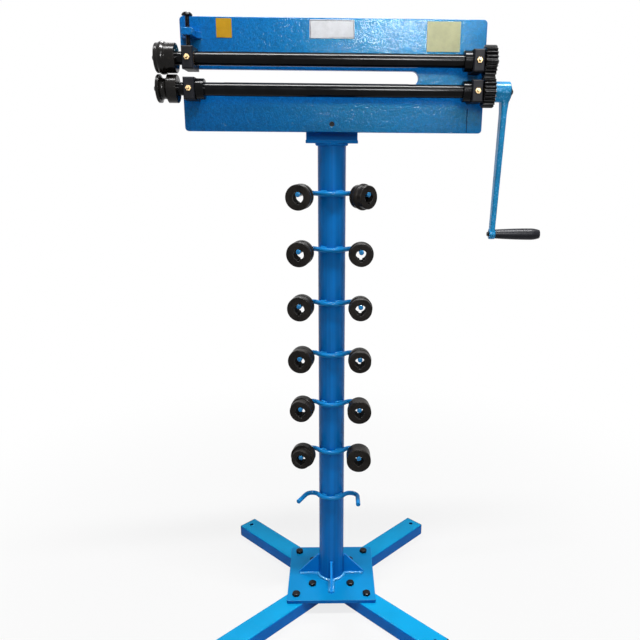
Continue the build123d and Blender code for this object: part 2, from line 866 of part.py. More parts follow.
# Crank: a cast hub, a tapered arm that hangs down and leans in a little, and a boss for the grip
arm_x = crank_right - crank_root_thickness / 2
grip_axis = lower_axis - crank_radius
boss_x = arm_x - crank_lean
boss_left = boss_x - crank_boss_thickness / 2
boss_right = boss_x + crank_boss_thickness / 2
root_x = arm_x - crank_lean * crank_root_drop / crank_radius


def arm_section(x, height, thickness, width):
    """Rounded section of the crank arm at a height."""
    with BuildSketch(Plane(origin=(x, axis_y, height))) as section:
        RectangleRounded(thickness, width, crank_arm_corner)
    return section.sketch


with BuildPart() as crank_arm:
    disc(across(crank_left, lower_axis), crank_hub_radius, crank_hub_length)
    disc(across(boss_left, grip_axis), crank_boss_radius, crank_boss_thickness)
    hub_section = arm_section(arm_x, lower_axis, crank_root_thickness, crank_arm_top_width)
    root_section = arm_section(root_x, lower_axis - crank_root_drop, crank_arm_thickness, crank_arm_top_width)
    end_section = arm_section(boss_x, grip_axis, crank_end_thickness, crank_arm_end_width)
    loft([hub_section, root_section])
    loft([root_section, end_section])
    disc(across(crank_left, lower_axis), die_bore_radius, crank_hub_length, Mode.SUBTRACT)
    hub_keyway = key_plane(crank_left + crank_hub_length / 2, lower_axis, die_bore_radius / 2)
    bar(hub_keyway, keyway_width, crank_hub_length, die_bore_radius / 2 + keyway_depth, Mode.SUBTRACT)
    disc(across(boss_left, grip_axis), spindle_radius + seat_gap, crank_boss_thickness, Mode.SUBTRACT)
save(crank_arm.part, "crank_arm")

# Grip and its spindle
grip_left = boss_right + rest_gap
head_seat = grip_length - spindle_head_recess - spindle_head_height
with BuildPart() as grip:
    grip_plane = Plane(origin=(grip_left, axis_y, grip_axis), x_dir=(1, 0, 0), z_dir=(0, -1, 0))
    with BuildSketch(grip_plane):
        with BuildLine():
            waist = ThreePointArc(
                (0, grip_neck_radius),
                (grip_swell / 2, (grip_neck_radius + grip_end_radius) / 2 + grip_bow),
                (grip_swell, grip_end_radius),
            )
            crown = TangentArc(waist @ 1, (grip_length, grip_crown_radius), tangent=waist % 1)
            Polyline(
                crown @ 1,
                (grip_length, spindle_head_radius + rest_gap),
                (head_seat, spindle_head_radius + rest_gap),
                (head_seat, spindle_radius + running_gap),
                (0, spindle_radius + running_gap),
                waist @ 0,
            )
        make_face()
    revolve(axis=Axis(grip_plane.origin, grip_plane.x_dir))
save(grip.part, "grip")

spindle_left = boss_left - spindle_peen_length
with BuildPart() as grip_spindle:
    disc(across(spindle_left, grip_axis), spindle_peen_radius, spindle_peen_length)
    disc(across(boss_left, grip_axis), spindle_radius, crank_boss_thickness + 2 * rest_gap + head_seat)
    disc(across(grip_left + head_seat + rest_gap, grip_axis), spindle_head_radius, spindle_head_height)
save(grip_spindle.part, "grip_spindle")

# Adjusting screw with a domed head, and the thrust pad that it turns on
pad_bottom = block_top - pad_thickness
tip_length_in_pad = pad_thickness / 2
screw_bottom = block_top - tip_length_in_pad + running_gap
screw_neck = lug_bottom + lug_height + screw_rise
with BuildPart() as thrust_pad:
    disc(Plane(origin=(left_block, axis_y, pad_bottom)), pad_radius, pad_thickness)
    disc(
        Plane(origin=(left_block, axis_y, block_top)),
        screw_tip_radius + running_gap,
        -tip_length_in_pad,
        Mode.SUBTRACT,
    )
save(thrust_pad.part, "thrust_pad")

with BuildPart() as adjusting_screw:
    turned(
        Plane(origin=(left_block, axis_y, 0), x_dir=(0, 0, 1), z_dir=(0, 1, 0)),
        [
            (screw_bottom, screw_tip_radius),
            (block_top + running_gap, screw_tip_radius),
            (block_top + running_gap, screw_radius),
            (screw_neck, screw_radius),
            (screw_neck, screw_head_radius),
            (screw_neck + screw_head_rim, screw_head_radius),
            (screw_neck + (screw_head_rim + screw_head_height) / 2, screw_head_mid_radius),
            (screw_neck + screw_head_height, screw_head_top_radius),
        ],
    )
save(adjusting_screw.part, "adjusting_screw")
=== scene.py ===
"""Finishes and detail for a hand-cranked bead roller on a floor stand."""

import json
import math

import bmesh
import bpy
from bpy.props import FloatProperty, FloatVectorProperty, PointerProperty
from mathutils import Matrix, Vector


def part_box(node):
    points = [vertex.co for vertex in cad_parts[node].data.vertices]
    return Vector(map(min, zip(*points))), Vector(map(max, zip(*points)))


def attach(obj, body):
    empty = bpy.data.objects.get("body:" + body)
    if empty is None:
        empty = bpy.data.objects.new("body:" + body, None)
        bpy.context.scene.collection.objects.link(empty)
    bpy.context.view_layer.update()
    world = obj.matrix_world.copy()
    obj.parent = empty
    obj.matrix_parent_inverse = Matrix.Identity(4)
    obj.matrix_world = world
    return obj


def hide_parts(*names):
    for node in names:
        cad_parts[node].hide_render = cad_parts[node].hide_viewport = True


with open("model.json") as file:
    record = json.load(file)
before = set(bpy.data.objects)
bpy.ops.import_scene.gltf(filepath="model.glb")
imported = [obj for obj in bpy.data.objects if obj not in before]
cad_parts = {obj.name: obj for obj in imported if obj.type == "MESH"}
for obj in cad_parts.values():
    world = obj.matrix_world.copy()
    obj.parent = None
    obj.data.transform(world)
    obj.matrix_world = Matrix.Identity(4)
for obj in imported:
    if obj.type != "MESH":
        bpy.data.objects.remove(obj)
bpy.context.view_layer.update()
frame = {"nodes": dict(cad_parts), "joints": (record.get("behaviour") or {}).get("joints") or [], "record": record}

bl_info = {
    "name": "Bead roller",
    "version": (1, 0, 0),
    "blender": (4, 5, 0),
    "location": "3D View > Sidebar > Bead roller",
    "description": "Finishes, welds, bolts, label plates and a studio for a bead roller on a floor stand",
    "category": "Object",
}

MM = 0.001

# Places on the solids
HEAD_FACE = -10.0 * MM
SHAFT_LINE = -46.0 * MM
GUSSET_HALF = 2.5 * MM
HOOK_HEIGHTS = [(255.5 + 112.8 * row) * MM for row in range(7)]

# Base bolts: the circles that they stand on, and how far and how unevenly their heads are turned
BOLT_CIRCLES = (62.0 * MM, 113.0 * MM)
BOLT_TWIST, BOLT_SPREAD = 0.35, 3.1

# Weld beads: how far a bead's line lies out from the column or a plate's side, and above or below a face
FOOT_OUT, FOOT_UP = 2.0 * MM, 1.0 * MM
SADDLE_OUT, SADDLE_DOWN = 1.4 * MM, 1.4 * MM
HOOK_OUT, HOOK_UP = 2.6 * MM, 4.6 * MM
RISER_OUT = 0.4 * MM
SIDE_OUT, SIDE_UP = 1.0 * MM, 0.6 * MM

# Weld beads: how far they stop short of a gusset's or the upright's ends, where the arcs and the seam lie
GUSSET_FOOT_ENDS = (5.0 * MM, 3.0 * MM)
GUSSET_RISER_ENDS = (4.0 * MM, 2.0 * MM)
UPRIGHT_ENDS = 3.0 * MM
HOOK_ARCS = ((-44.0, -20.0), (13.0, 45.0))
SEAM_X, SEAM_LOW, SEAM_HIGH = 267.0 * MM, 1052.5 * MM, 1097.5 * MM
BEAD_STEP = 0.6 * MM

# Hook tips: the chamfer on a rod's end, and how its end is found near a die
TIP_CHAMFER = 1.0 * MM
TIP_SEARCH = 40.0 * MM
TIP_FLAT = 0.05 * MM

# Label plates: colour, left, right, low and high edge, and the inset of a dark line, in millimetres
LABELS = (
    ("amber", -219.8, -190.3, 1222.4, 1256.6, 0.0),
    ("white", -42.8, 43.0, 1223.2, 1256.4, 1.8),
    ("pale", 182.0, 246.5, 1201.5, 1255.5, 0.0),
)
LABEL_INK = (0.030, 0.034, 0.042)
LABEL_RIM = 0.18 * MM
LABEL_CROWN = 0.10 * MM
LABEL_LINE = 0.7 * MM
LABEL_CORNER_PARTS = 8

# Adjusting screw: the dome's rings are shares of the head's radius and depths below its top,
# and the foot's rings are radii and heights above its end, in millimetres
SCREW_RADIUS = 4.0 * MM
SCREW_SIDES = 40
SCREW_DOME = ((0.0, 0.0), (0.30, 0.25), (0.58, 1.1), (0.80, 2.5), (0.94, 4.3), (1.0, 5.9),
              (0.985, 6.5), (0.94, 7.0), (0.55, 7.2))
SCREW_NECK = 7.6 * MM
SCREW_FOOT = ((2.88, 2.4), (2.5, 2.0), (2.5, 0.5), (2.0, 0.0), (0.0, 0.0))
THREAD_START = 8.2 * MM
THREAD_END = 3.0 * MM
THREAD_STEPS = 8
THREAD_SLOPE, THREAD_CREST = 2.6, 0.15

# Crank casting
CASTING_VOXEL = 0.7 * MM
CASTING_PASSES = 24

# Tones that show through where paint or blacking is thin; the thin-paint tone is also a painted highlight on
# edges, and the grain tone paints glints on the crank's grains
THIN_PAINT_AND_HIGHLIGHT = (0.45, 0.66, 0.85)
RUBBED_CASTING = (0.42, 0.60, 0.72)
GRAIN_GLINT = (0.5, 0.75, 0.9)
RUST = (0.07, 0.045, 0.03)
POLISHED = (1.0, 0.95, 0.85)

# Lamps: name, sides, place, the point that it faces, and whether it shows in gloss only
LAMPS = (
    ("top_light", (2.9, 0.26), (0.35, -0.95, 4.9), (0.2, -0.1, 0.6), False),
    ("key_light", (0.5, 0.35), (0.55, -1.6, 2.2), (0.1, 0.0, 1.1), False),
    ("back_light", (0.8, 0.8), (-0.5, 2.3, 3.6), (0.0, 0.0, 0.8), False),
    ("gloss_card", (0.42, 0.44), (0.35, -2.5, 1.80), (0.1, 0.0, 1.2), True),
    ("side_card", (0.40, 0.30), (0.62, -2.5, 1.26), (0.2, 0.0, 1.1), True),
    ("ceiling_card", (3.0, 0.9), (0.35, -0.6, 4.6), (0.3, -0.1, 1.2), True),
)

# Camera: place in metres, turns in radians and shift of the frame
CAMERA_PLACE = (0.000302, -1.326273, 1.015884)
CAMERA_PITCH, CAMERA_YAW, CAMERA_ROLL = 0.257925, 0.0255215, 0.00763545
CAMERA_SHIFT = (-0.04305, -0.0014)

# Room and floor: their white, the floor's half side and grey, and its share of white from near to far
WHITE = (1.0, 1.0, 1.0, 1.0)
FLOOR_HALF = 12.0
FLOOR_GREY = (0.54, 0.54, 0.54, 1.0)
FLOOR_NEAR, FLOOR_FAR = 0.35, 1.5
FLOOR_NEAR_WHITE = 0.80


def size(name, text, default):
    """A length that a user may change, in metres."""
    return FloatProperty(name=name, description=text, default=default, unit="LENGTH", precision=5)


def colour(name, text, default):
    """A colour that a user may change."""
    return FloatVectorProperty(name=name, description=text, default=default, size=3, subtype="COLOR",
                               min=0.0, max=1.0)


def power(name, text, default):
    """A lamp's power that a user may change, in watts."""
    return FloatProperty(name=name, description=text, default=default, unit="POWER")


class RollerFinishes(bpy.types.PropertyGroup):
    """Colours of the paints, steels and plastics."""

    # Legs and base: the plain tone is the enamel as lit on the tops, the shaded tone is painted shade on their
    # upright faces.
    leg_blue: colour("Leg blue", "Gloss enamel on top of the legs", (0.003, 0.282, 0.56))
    leg_shaded_blue: colour("Leg side blue", "Deeper enamel on the sides of the legs", (0.002, 0.150, 0.56))
    base_blue: colour("Base blue", "Gloss enamel on top of the base plate", (0.003, 0.205, 0.47))
    base_shaded_blue: colour("Base side blue", "Deeper enamel on the base plate's edges", (0.002, 0.125, 0.44))
    column_blue: colour("Column blue", "Gloss enamel of the column", (0.004, 0.170, 0.54))
    gusset_blue: colour("Gusset blue", "Gloss enamel of the gussets", (0.003, 0.240, 0.70))
    rod_blue: colour("Rod blue", "Gloss enamel of the hook rods and their welds", (0.005, 0.180, 0.475))
    # Lighter than the stand's enamel: a painted highlight for the glints on the weld beads.
    weld_blue: colour("Weld blue", "Wet gloss enamel of the weld beads", (0.012, 0.300, 0.66))
    tip_blue: colour("Tip blue", "Wet gloss enamel on the ends of the hook rods", (0.008, 0.190, 0.46))
    head_blue: colour("Head blue", "Hammertone enamel of the head plate", (0.002, 0.146, 0.50))
    crank_blue: colour("Crank blue", "Enamel of the crank casting", (0.008, 0.255, 0.55))
    shaft_black: colour("Shaft black", "Blackened steel of the shafts and collars", (0.0040, 0.0043, 0.0052))
    die_black: colour("Die black", "Blackened steel of the rolling dies", (0.0150, 0.0130, 0.0115))
    gear_black: colour("Gear black", "Blackened steel of the gears", (0.0080, 0.0080, 0.0088))
    bolt_black: colour("Bolt black", "Blackened steel of bolts and screws", (0.0060, 0.0063, 0.0072))
    block_black: colour("Block black", "Blackened casting of the bearing blocks", (0.0105, 0.0112, 0.0160))
    brass: colour("Brass", "Grease nipples", (0.52, 0.37, 0.19))
    bronze: colour("Bronze", "Bearing bushes", (0.42, 0.25, 0.11))
    key_steel: colour("Key steel", "Bright steel of the keys and the thrust pad", (0.36, 0.36, 0.37))
    plug_grey: colour("Plug grey", "Plastic plugs in the leg ends", (0.022, 0.023, 0.025))
    grip_black: colour("Grip black", "Moulded grip of the crank", (0.010, 0.011, 0.015))


class RollerWelds(bpy.types.PropertyGroup):
    """Sizes of the weld beads."""

    width: size("Bead width", "Width of the beads on the base plate and the saddle", 7.5 * MM)
    saddle_width: size("Saddle bead width", "Width of the bead round the column under the saddle", 6.4 * MM)
    riser_width: size("Riser bead width", "Width of the beads up the column", 3.2 * MM)
    hook_width: size("Hook bead width", "Width of the beads above the hook rods", 5.6 * MM)
    seam_width: size("Seam width", "Width of the seam at the right of the head", 2.2 * MM)
    ripple: size("Ripple spacing", "Distance from one ripple to the next", 2.8 * MM)


class RollerTips(bpy.types.PropertyGroup):
    """Sizes of the painted ends of the hook rods."""

    radius: size("Tip radius", "Radius of a rod's painted end", 5.0 * MM)
    length: size("Tip length", "Length of the paint on a rod's end", 3.8 * MM)
    crown: size("Tip crown", "How far the middle of an end stands out past its rim", 0.8 * MM)


class RollerLabels(bpy.types.PropertyGroup):
    """Sizes and colours of the blank label plates."""

    thickness: size("Plate thickness", "How far a label plate stands off the head", 0.45 * MM)
    corner: size("Corner radius", "Radius of the corners of a label plate", 1.4 * MM)
    amber: colour("Amber", "Narrow plate at the left", (0.64, 0.345, 0.004))
    white: colour("White", "Wide plate in the middle", (0.86, 0.88, 0.92))
    pale: colour("Pale yellow", "Tall plate at the right", (0.60, 0.61, 0.34))


class RollerScrews(bpy.types.PropertyGroup):
    """Sizes of the bolts and of the adjusting screw."""

    bolt_flats: size("Base bolt flats", "Width across the flats of a base bolt's head", 16.0 * MM)
    bolt_radius: size("Base bolt radius", "Radius of a base bolt's shank", 5.0 * MM)
    thread_pitch: size("Thread pitch", "Pitch of the adjusting screw", 1.25 * MM)
    thread_depth: size("Thread depth", "Depth of the adjusting screw's thread", 0.75 * MM)


class RollerStage(bpy.types.PropertyGroup):
    """Levels of the studio light."""

    top_light: power("Top light", "Power of the lamp above", 275.0)
    key_light: power("Key light", "Power of the lamp at the front", 9.0)
    back_light: power("Back light", "Power of the lamp behind", 50.0)
    gloss_card: power("Gloss card", "Power of the card that shows in the head's gloss", 84.0)
    side_card: power("Side card", "Power of the low card at the right", 2.0)
    ceiling_card: power("Ceiling card", "Power of the card overhead", 500.0)
    ambient: FloatProperty(name="Room light", description="Strength of the room's white light", default=0.10)
    lens: FloatProperty(name="Lens", description="Focal length of the camera", default=35.888, unit="CAMERA")


class Wiring:
    """Nodes of one tree, added and linked in short steps."""

    def __init__(self, tree):
        self.tree = tree
        tree.nodes.clear()

    def node(self, kind, sockets=None, **settings):
        """Adds a node with its settings, and fills its sockets by name or number."""
        made = self.tree.nodes.new(kind)
        for key, value in settings.items():
            setattr(made, key, value)
        for key, value in (sockets or {}).items():
            self.fill(made.inputs[key], value)
        return made

    def fill(self, socket, value):
        """Links an output to a socket, or sets the socket to a plain number, vector or colour."""
        if isinstance(value, bpy.types.NodeSocket):
            self.tree.links.new(value, socket)
        else:
            socket.default_value = value

    def maths(self, operation, *values):
        sockets = dict(enumerate(values))
        return self.node("ShaderNodeMath", sockets, operation=operation).outputs["Value"]

    def span(self, amount, low, high, start=0.0, end=1.0):
        """A value between start and end while amount goes from low to high."""
        sockets = {"Value": amount, "From Min": low, "From Max": high, "To Min": start, "To Max": end}
        return self.node("ShaderNodeMapRange", sockets, interpolation_type="SMOOTHSTEP").outputs["Result"]

    def axes(self, vector):
        """The x, y and z of a vector."""
        parts = self.node("ShaderNodeSeparateXYZ", {"Vector": vector}).outputs
        return [parts[axis] for axis in "XYZ"]

    def vector(self, **axes):
        """A vector of the axes given, with 0 on the others."""
        return self.node("ShaderNodeCombineXYZ", axes).outputs["Vector"]


class Finish(Wiring):
    """A material with one principled shader, on the object's own coordinates."""

    def __init__(self, name):
        self.material = bpy.data.materials.new(name)
        self.material.use_nodes = True
        super().__init__(self.material.node_tree)
        self.shader = self.node("ShaderNodeBsdfPrincipled")
        self.node("ShaderNodeOutputMaterial", {"Surface": self.shader.outputs["BSDF"]})
        self.place = self.node("ShaderNodeTexCoord").outputs["Object"]

    def set(self, **values):
        """Sets the shader's sockets; underscores in a name stand for spaces."""
        for key, value in values.items():
            if isinstance(value, tuple):
                value = (*value, 1.0)
            self.fill(self.shader.inputs[key.replace("_", " ")], value)

    def stretched(self, scale):
        """The object's coordinates, scaled on each axis."""
        return self.node("ShaderNodeMapping", {"Vector": self.place, "Scale": scale}).outputs["Vector"]

    def noise(self, scale, detail=3.0, roughness=0.5, distortion=0.0, place=None):
        sockets = {"Vector": place or self.place, "Scale": scale, "Detail": detail,
                   "Roughness": roughness, "Distortion": distortion}
        return self.node("ShaderNodeTexNoise", sockets).outputs["Fac"]

    def cells(self, scale):
        """Soft cells, 0 in the middle of each."""
        sockets = {"Vector": self.place, "Scale": scale, "Smoothness": 0.6}
        return self.node("ShaderNodeTexVoronoi", sockets, feature="SMOOTH_F1").outputs["Distance"]

    def blend(self, amount, first, second):
        """A colour that goes from first to second with amount."""
        made = self.node("ShaderNodeMix", {"Factor": amount}, data_type="RGBA")
        for socket, value in ((made.inputs[6], first), (made.inputs[7], second)):
            self.fill(socket, value if isinstance(value, bpy.types.NodeSocket) else (*value, 1.0))
        return made.outputs[2]

    def mottled(self, amount, tone, dark, light, low=0.30, high=0.70):
        """A tone that drifts from a darker to a lighter shade while amount goes from low to high."""
        return self.blend(self.span(amount, low, high), shade(tone, dark), shade(tone, light))

    def over(self, base, tone, share, amount, low, high):
        """A tone laid over a colour, up to a share of it, while amount goes from low to high."""
        return self.blend(self.span(amount, low, high, 0.0, share), base, tone)

    def worn(self, base, tone, edge, patches, low, high, least, most):
        """A tone laid over a colour along the edges, in patches."""
        share = self.maths("MULTIPLY", edge, self.span(patches, low, high, least, most))
        return self.blend(share, base, tone)

    def uneven(self, scale, detail, rough):
        """Roughness that drifts between two values."""
        return self.span(self.noise(scale, detail, 0.6), 0.25, 0.75, *rough)

    def upward(self):
        """1 on faces that look up, 0 on upright ones and below."""
        height = self.axes(self.node("ShaderNodeNewGeometry").outputs["Normal"])[2]
        return self.span(height, 0.35, 0.90)

    def openness(self, distance):
        """1 on open faces, towards 0 deep in holes of about that width."""
        sockets = {"Distance": distance}
        return self.node("ShaderNodeAmbientOcclusion", sockets, samples=8, only_local=True).outputs["AO"]

    def edges(self, radius):
        """The normal with its edges rounded, and how near an edge is, from 0 to 1."""
        rounded = self.node("ShaderNodeBevel", {"Radius": radius}, samples=6).outputs["Normal"]
        plain = self.node("ShaderNodeNewGeometry").outputs["Normal"]
        across = self.node("ShaderNodeVectorMath", {0: rounded, 1: plain}, operation="DOT_PRODUCT")
        return rounded, self.span(across.outputs["Value"], 0.72, 0.99, 1.0, 0.0)

    def bump(self, height, depth, strength, normal=None):
        sockets = {"Strength": strength, "Distance": depth, "Height": height}
        if normal is not None:
            sockets["Normal"] = normal
        return self.node("ShaderNodeBump", sockets).outputs["Normal"]


def shade(tone, amount):
    """A lighter or darker tone of a colour."""
    return tuple(min(1.0, part * amount) for part in tone)


def towards(tone, other, amount):
    """A colour part of the way from one tone to another."""
    return tuple(a + (b - a) * amount for a, b in zip(tone, other))


def gloss_enamel(name, tone, side=None, rough=(0.16, 0.26), gloss=0.05, peel_depth=0.25 * MM, streaks=0.0):
    """Sprayed gloss enamel with faint orange peel, thin and with a painted highlight at the edges; side is a
    darker tone of painted shade on upright faces, and the bands are painted vertical reflections.
    """
    finish = Finish(name)
    rounded, edge = finish.edges(1.2 * MM)
    broad = finish.noise(7.0, 4.0, 0.55)
    base = finish.mottled(broad, tone, 0.90, 1.08)
    # Painted shade: upright faces take the darker side tone, tops keep the lit tone.
    if side:
        base = finish.blend(finish.upward(), finish.mottled(broad, side, 0.90, 1.08), base)
    # Painted reflection: light and dark vertical bands down the column, as a tube reflects its surroundings.
    if streaks:
        runs = finish.noise(1.0, 2.0, 0.5, place=finish.stretched((120.0, 120.0, 1.4)))
        base = finish.over(base, shade(tone, 0.62), streaks, runs, 0.52, 0.36)
        base = finish.over(base, shade(tone, 1.45), streaks, runs, 0.52, 0.68)
    base = finish.over(base, shade(tone, 0.72), 0.35, finish.noise(900.0, 2.0, 0.6), 0.66, 0.80)
    # Lighter edges: paint worn thin, and a painted highlight where light catches the edges.
    thin = towards(shade(tone, 1.25), THIN_PAINT_AND_HIGHLIGHT, 0.35)
    base = finish.worn(base, thin, edge, finish.noise(60.0, 3.0, 0.6), 0.30, 0.62, 0.25, 0.75)
    peel = finish.noise(420.0, 2.0, 0.45, 0.3)
    finish.set(Base_Color=base, Roughness=finish.uneven(26.0, 4.0, rough), Specular_IOR_Level=gloss)
    finish.set(Normal=finish.bump(peel, peel_depth, 0.35, rounded))
    return finish.material


def hammertone_enamel(name, tone):
    """Thick hammertone enamel: wormy relief with painted shade in its hollows and painted highlight on its crests,
    and metal flake that shines in its own colour.
    """
    finish = Finish(name)
    rounded, edge = finish.edges(1.6 * MM)
    worms = finish.noise(245.0, 1.0, 0.4, 1.3)
    pits = finish.maths("MULTIPLY", finish.cells(250.0), 0.3)
    relief = finish.maths("ADD", finish.span(worms, 0.30, 0.70), pits)
    base = finish.mottled(finish.noise(6.0, 4.0, 0.6), tone, 0.90, 1.08)
    # Painted shade in the worms' hollows and painted highlight on their crests.
    base = finish.over(base, shade(tone, 0.66), 0.65, worms, 0.55, 0.36)
    base = finish.over(base, shade(tone, 1.32), 0.55, worms, 0.55, 0.72)
    # Lighter edges: paint worn thin, and a painted highlight where light catches the edges.
    thin = towards(shade(tone, 1.3), THIN_PAINT_AND_HIGHLIGHT, 0.30)
    base = finish.worn(base, thin, edge, worms, 0.40, 0.60, 0.25, 0.70)
    finish.set(Base_Color=base, Roughness=finish.uneven(40.0, 3.0, (0.26, 0.36)))
    finish.set(Specular_IOR_Level=0.24, Specular_Tint=(0.03, 0.60, 0.80))
    wormy = finish.bump(relief, 0.20 * MM, 0.60, rounded)
    finish.set(Normal=wormy, Coat_Normal=wormy, Coat_Weight=0.13, Coat_Roughness=0.06)
    return finish.material


def cast_enamel(name, tone):
    """Enamel over a sand casting, rubbed pale along its edges, darker in the grains' hollows and with painted
    glints on the grains.
    """
    finish = Finish(name)
    rounded, edge = finish.edges(1.2 * MM)
    grains = finish.noise(330.0, 2.0, 0.5)
    base = finish.mottled(finish.noise(22.0, 4.0, 0.6), tone, 0.78, 1.12)
    # Darker where the grains are low, and painted glints where they are high.
    base = finish.over(base, shade(tone, 0.7), 0.5, grains, 0.50, 0.34)
    base = finish.over(base, towards(shade(tone, 1.4), GRAIN_GLINT, 0.35), 0.6, grains, 0.56, 0.70)
    base = finish.worn(base, RUBBED_CASTING, edge, finish.noise(90.0, 3.0, 0.6), 0.35, 0.62, 0.1, 0.8)
    finish.set(Base_Color=base, Roughness=finish.uneven(70.0, 4.0, (0.30, 0.45)))
    finish.set(Specular_IOR_Level=0.06, Specular_Tint=(0.08, 0.58, 0.90))
    sandy = finish.bump(grains, 0.05 * MM, 0.50, rounded)
    finish.set(Normal=sandy, Coat_Normal=sandy, Coat_Weight=0.30, Coat_Roughness=0.16)
    return finish.material


def blackened_steel(name, tone, marks=None, rough=(0.28, 0.42), gloss=0.10, edge_tone=0.06,
                    edge_radius=0.6 * MM, bore=0.0):
    """Oil-blackened steel; marks scales the lathe lines on each axis, and holes as wide as bore are dull."""
    finish = Finish(name)
    rounded, edge = finish.edges(edge_radius)
    cloud = finish.noise(38.0, 5.0, 0.6)
    base = finish.mottled(cloud, tone, 0.68, 1.28, 0.28, 0.72)
    base = finish.over(base, towards(tone, RUST, 0.6), 0.30, finish.noise(75.0, 5.0, 0.7), 0.60, 0.78)
    rubbed = (edge_tone, edge_tone, edge_tone * 1.02)
    base = finish.worn(base, rubbed, edge, finish.noise(140.0, 3.0, 0.65), 0.36, 0.64, 0.05, 0.75)
    if marks:
        fine, depth = finish.noise(1.0, 2.0, 0.55, place=finish.stretched(marks)), 0.08 * MM
    else:
        fine, depth = finish.noise(640.0, 3.0, 0.6), 0.16 * MM
    grain = finish.span(fine, 0.25, 0.75, *rough)
    grain = finish.maths("ADD", grain, finish.span(cloud, 0.25, 0.75, -0.05, 0.07))
    if bore:
        grain = finish.maths("ADD", grain, finish.span(finish.openness(bore), 0.45, 0.80, 0.50, 0.0))
    finish.set(Base_Color=base, Specular_IOR_Level=gloss, Roughness=grain)
    finish.set(Normal=finish.bump(fine, depth, 0.35, rounded))
    return finish.material


def bright_metal(name, tone, rough=(0.22, 0.40)):
    """Bare brass, bronze or steel, duller where it is handled."""
    finish = Finish(name)
    rounded, edge = finish.edges(0.4 * MM)
    base = finish.mottled(finish.noise(160.0, 4.0, 0.6), tone, 0.66, 1.08)
    base = finish.blend(finish.maths("MULTIPLY", edge, 0.5), base, towards(tone, POLISHED, 0.3))
    finish.set(Base_Color=base, Metallic=1.0, Roughness=finish.uneven(420.0, 3.0, rough))
    finish.set(Normal=finish.bump(finish.noise(1500.0, 2.0, 0.5), 0.05 * MM, 0.3, rounded))
    return finish.material


def moulded_plastic(name, tone, rough, gloss=0.10):
    """Moulded plastic with a fine spark-eroded grain."""
    finish = Finish(name)
    rounded, edge = finish.edges(0.7 * MM)
    base = finish.mottled(finish.noise(45.0, 4.0, 0.6), tone, 0.8, 1.25)
    base = finish.blend(finish.maths("MULTIPLY", edge, 0.4), base, shade(tone, 2.4))
    finish.set(Base_Color=base, Roughness=finish.uneven(120.0, 3.0, rough), Specular_IOR_Level=gloss)
    finish.set(Normal=finish.bump(finish.noise(700.0, 2.0, 0.5), 0.08 * MM, 0.5, rounded))
    return finish.material


def label_vinyl(name, tone):
    """Vinyl sheet, faintly soiled and mottled."""
    finish = Finish(name)
    base = finish.mottled(finish.noise(55.0, 5.0, 0.65), tone, 0.90, 1.05)
    base = finish.over(base, shade(tone, 0.6), 0.30, finish.noise(900.0, 2.0, 0.6), 0.68, 0.80)
    finish.set(Base_Color=base, Roughness=finish.uneven(90.0, 3.0, (0.32, 0.46)), Specular_IOR_Level=0.08)
    finish.set(Normal=finish.bump(finish.noise(300.0, 2.0, 0.5), 0.10 * MM, 0.25))
    return finish.material


def finished(name, maker, *values, **named):
    """The material of that name, made the first time it is asked for."""
    return bpy.data.materials.get(name) or maker(name, *values, **named)


def enamel(part, **named):
    """Gloss enamel of one part of the stand, with painted shade, a darker tone, on upright faces where it has one.
    """
    tones = bpy.context.scene.roller_finishes
    if hasattr(tones, part + "_shaded_blue"):
        named["side"] = tuple(getattr(tones, part + "_shaded_blue"))
    return finished(part + "_enamel", gloss_enamel, tuple(getattr(tones, part + "_blue")), **named)


def wet_enamel(part, gloss):
    """Thick enamel of the rods, their tips or the welds, smoother than the sprayed sides."""
    return enamel(part, rough=(0.09, 0.16), gloss=gloss, peel_depth=0.5 * MM)


def bolt_steel():
    """Blackened steel of every bolt and screw."""
    tone = tuple(bpy.context.scene.roller_finishes.bolt_black)
    return finished("bolt_black_steel", blackened_steel, tone, rough=(0.16, 0.28), gloss=0.09, edge_tone=0.10)


def new_piece(name, mesh, body, stands_for=()):
    """Links a finished mesh as a piece that rides on a body."""
    piece = bpy.data.objects.get(name) or bpy.data.objects.new(name, mesh)
    piece.data = mesh
    mesh.name = name
    if piece.name not in bpy.context.scene.collection.objects:
        bpy.context.scene.collection.objects.link(piece)
    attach(piece, body)
    if stands_for:
        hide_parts(*stands_for)
    return piece


def mesh_from(build, name):
    """A mesh from a new bmesh, with its normals outwards."""
    build.normal_update()
    bmesh.ops.recalc_face_normals(build, faces=build.faces)
    mesh = bpy.data.meshes.new(name)
    build.to_mesh(mesh)
    build.free()
    return mesh


def merged_copy(node):
    """A bmesh copy of a CAD node with its loose triangles joined."""
    build = bmesh.new()
    build.from_mesh(frame["nodes"][node].data)
    bmesh.ops.remove_doubles(build, verts=build.verts, dist=0.002 * MM)
    return build


def plain_mesh(carrier):
    """The mesh that an object's modifiers give; the object and its own mesh are removed."""
    bpy.context.view_layer.update()
    evaluated = carrier.evaluated_get(bpy.context.evaluated_depsgraph_get())
    mesh = bpy.data.meshes.new_from_object(evaluated)
    source = carrier.data
    carrier.modifiers.clear()
    bpy.data.objects.remove(carrier)
    bpy.data.meshes.remove(source)
    return mesh


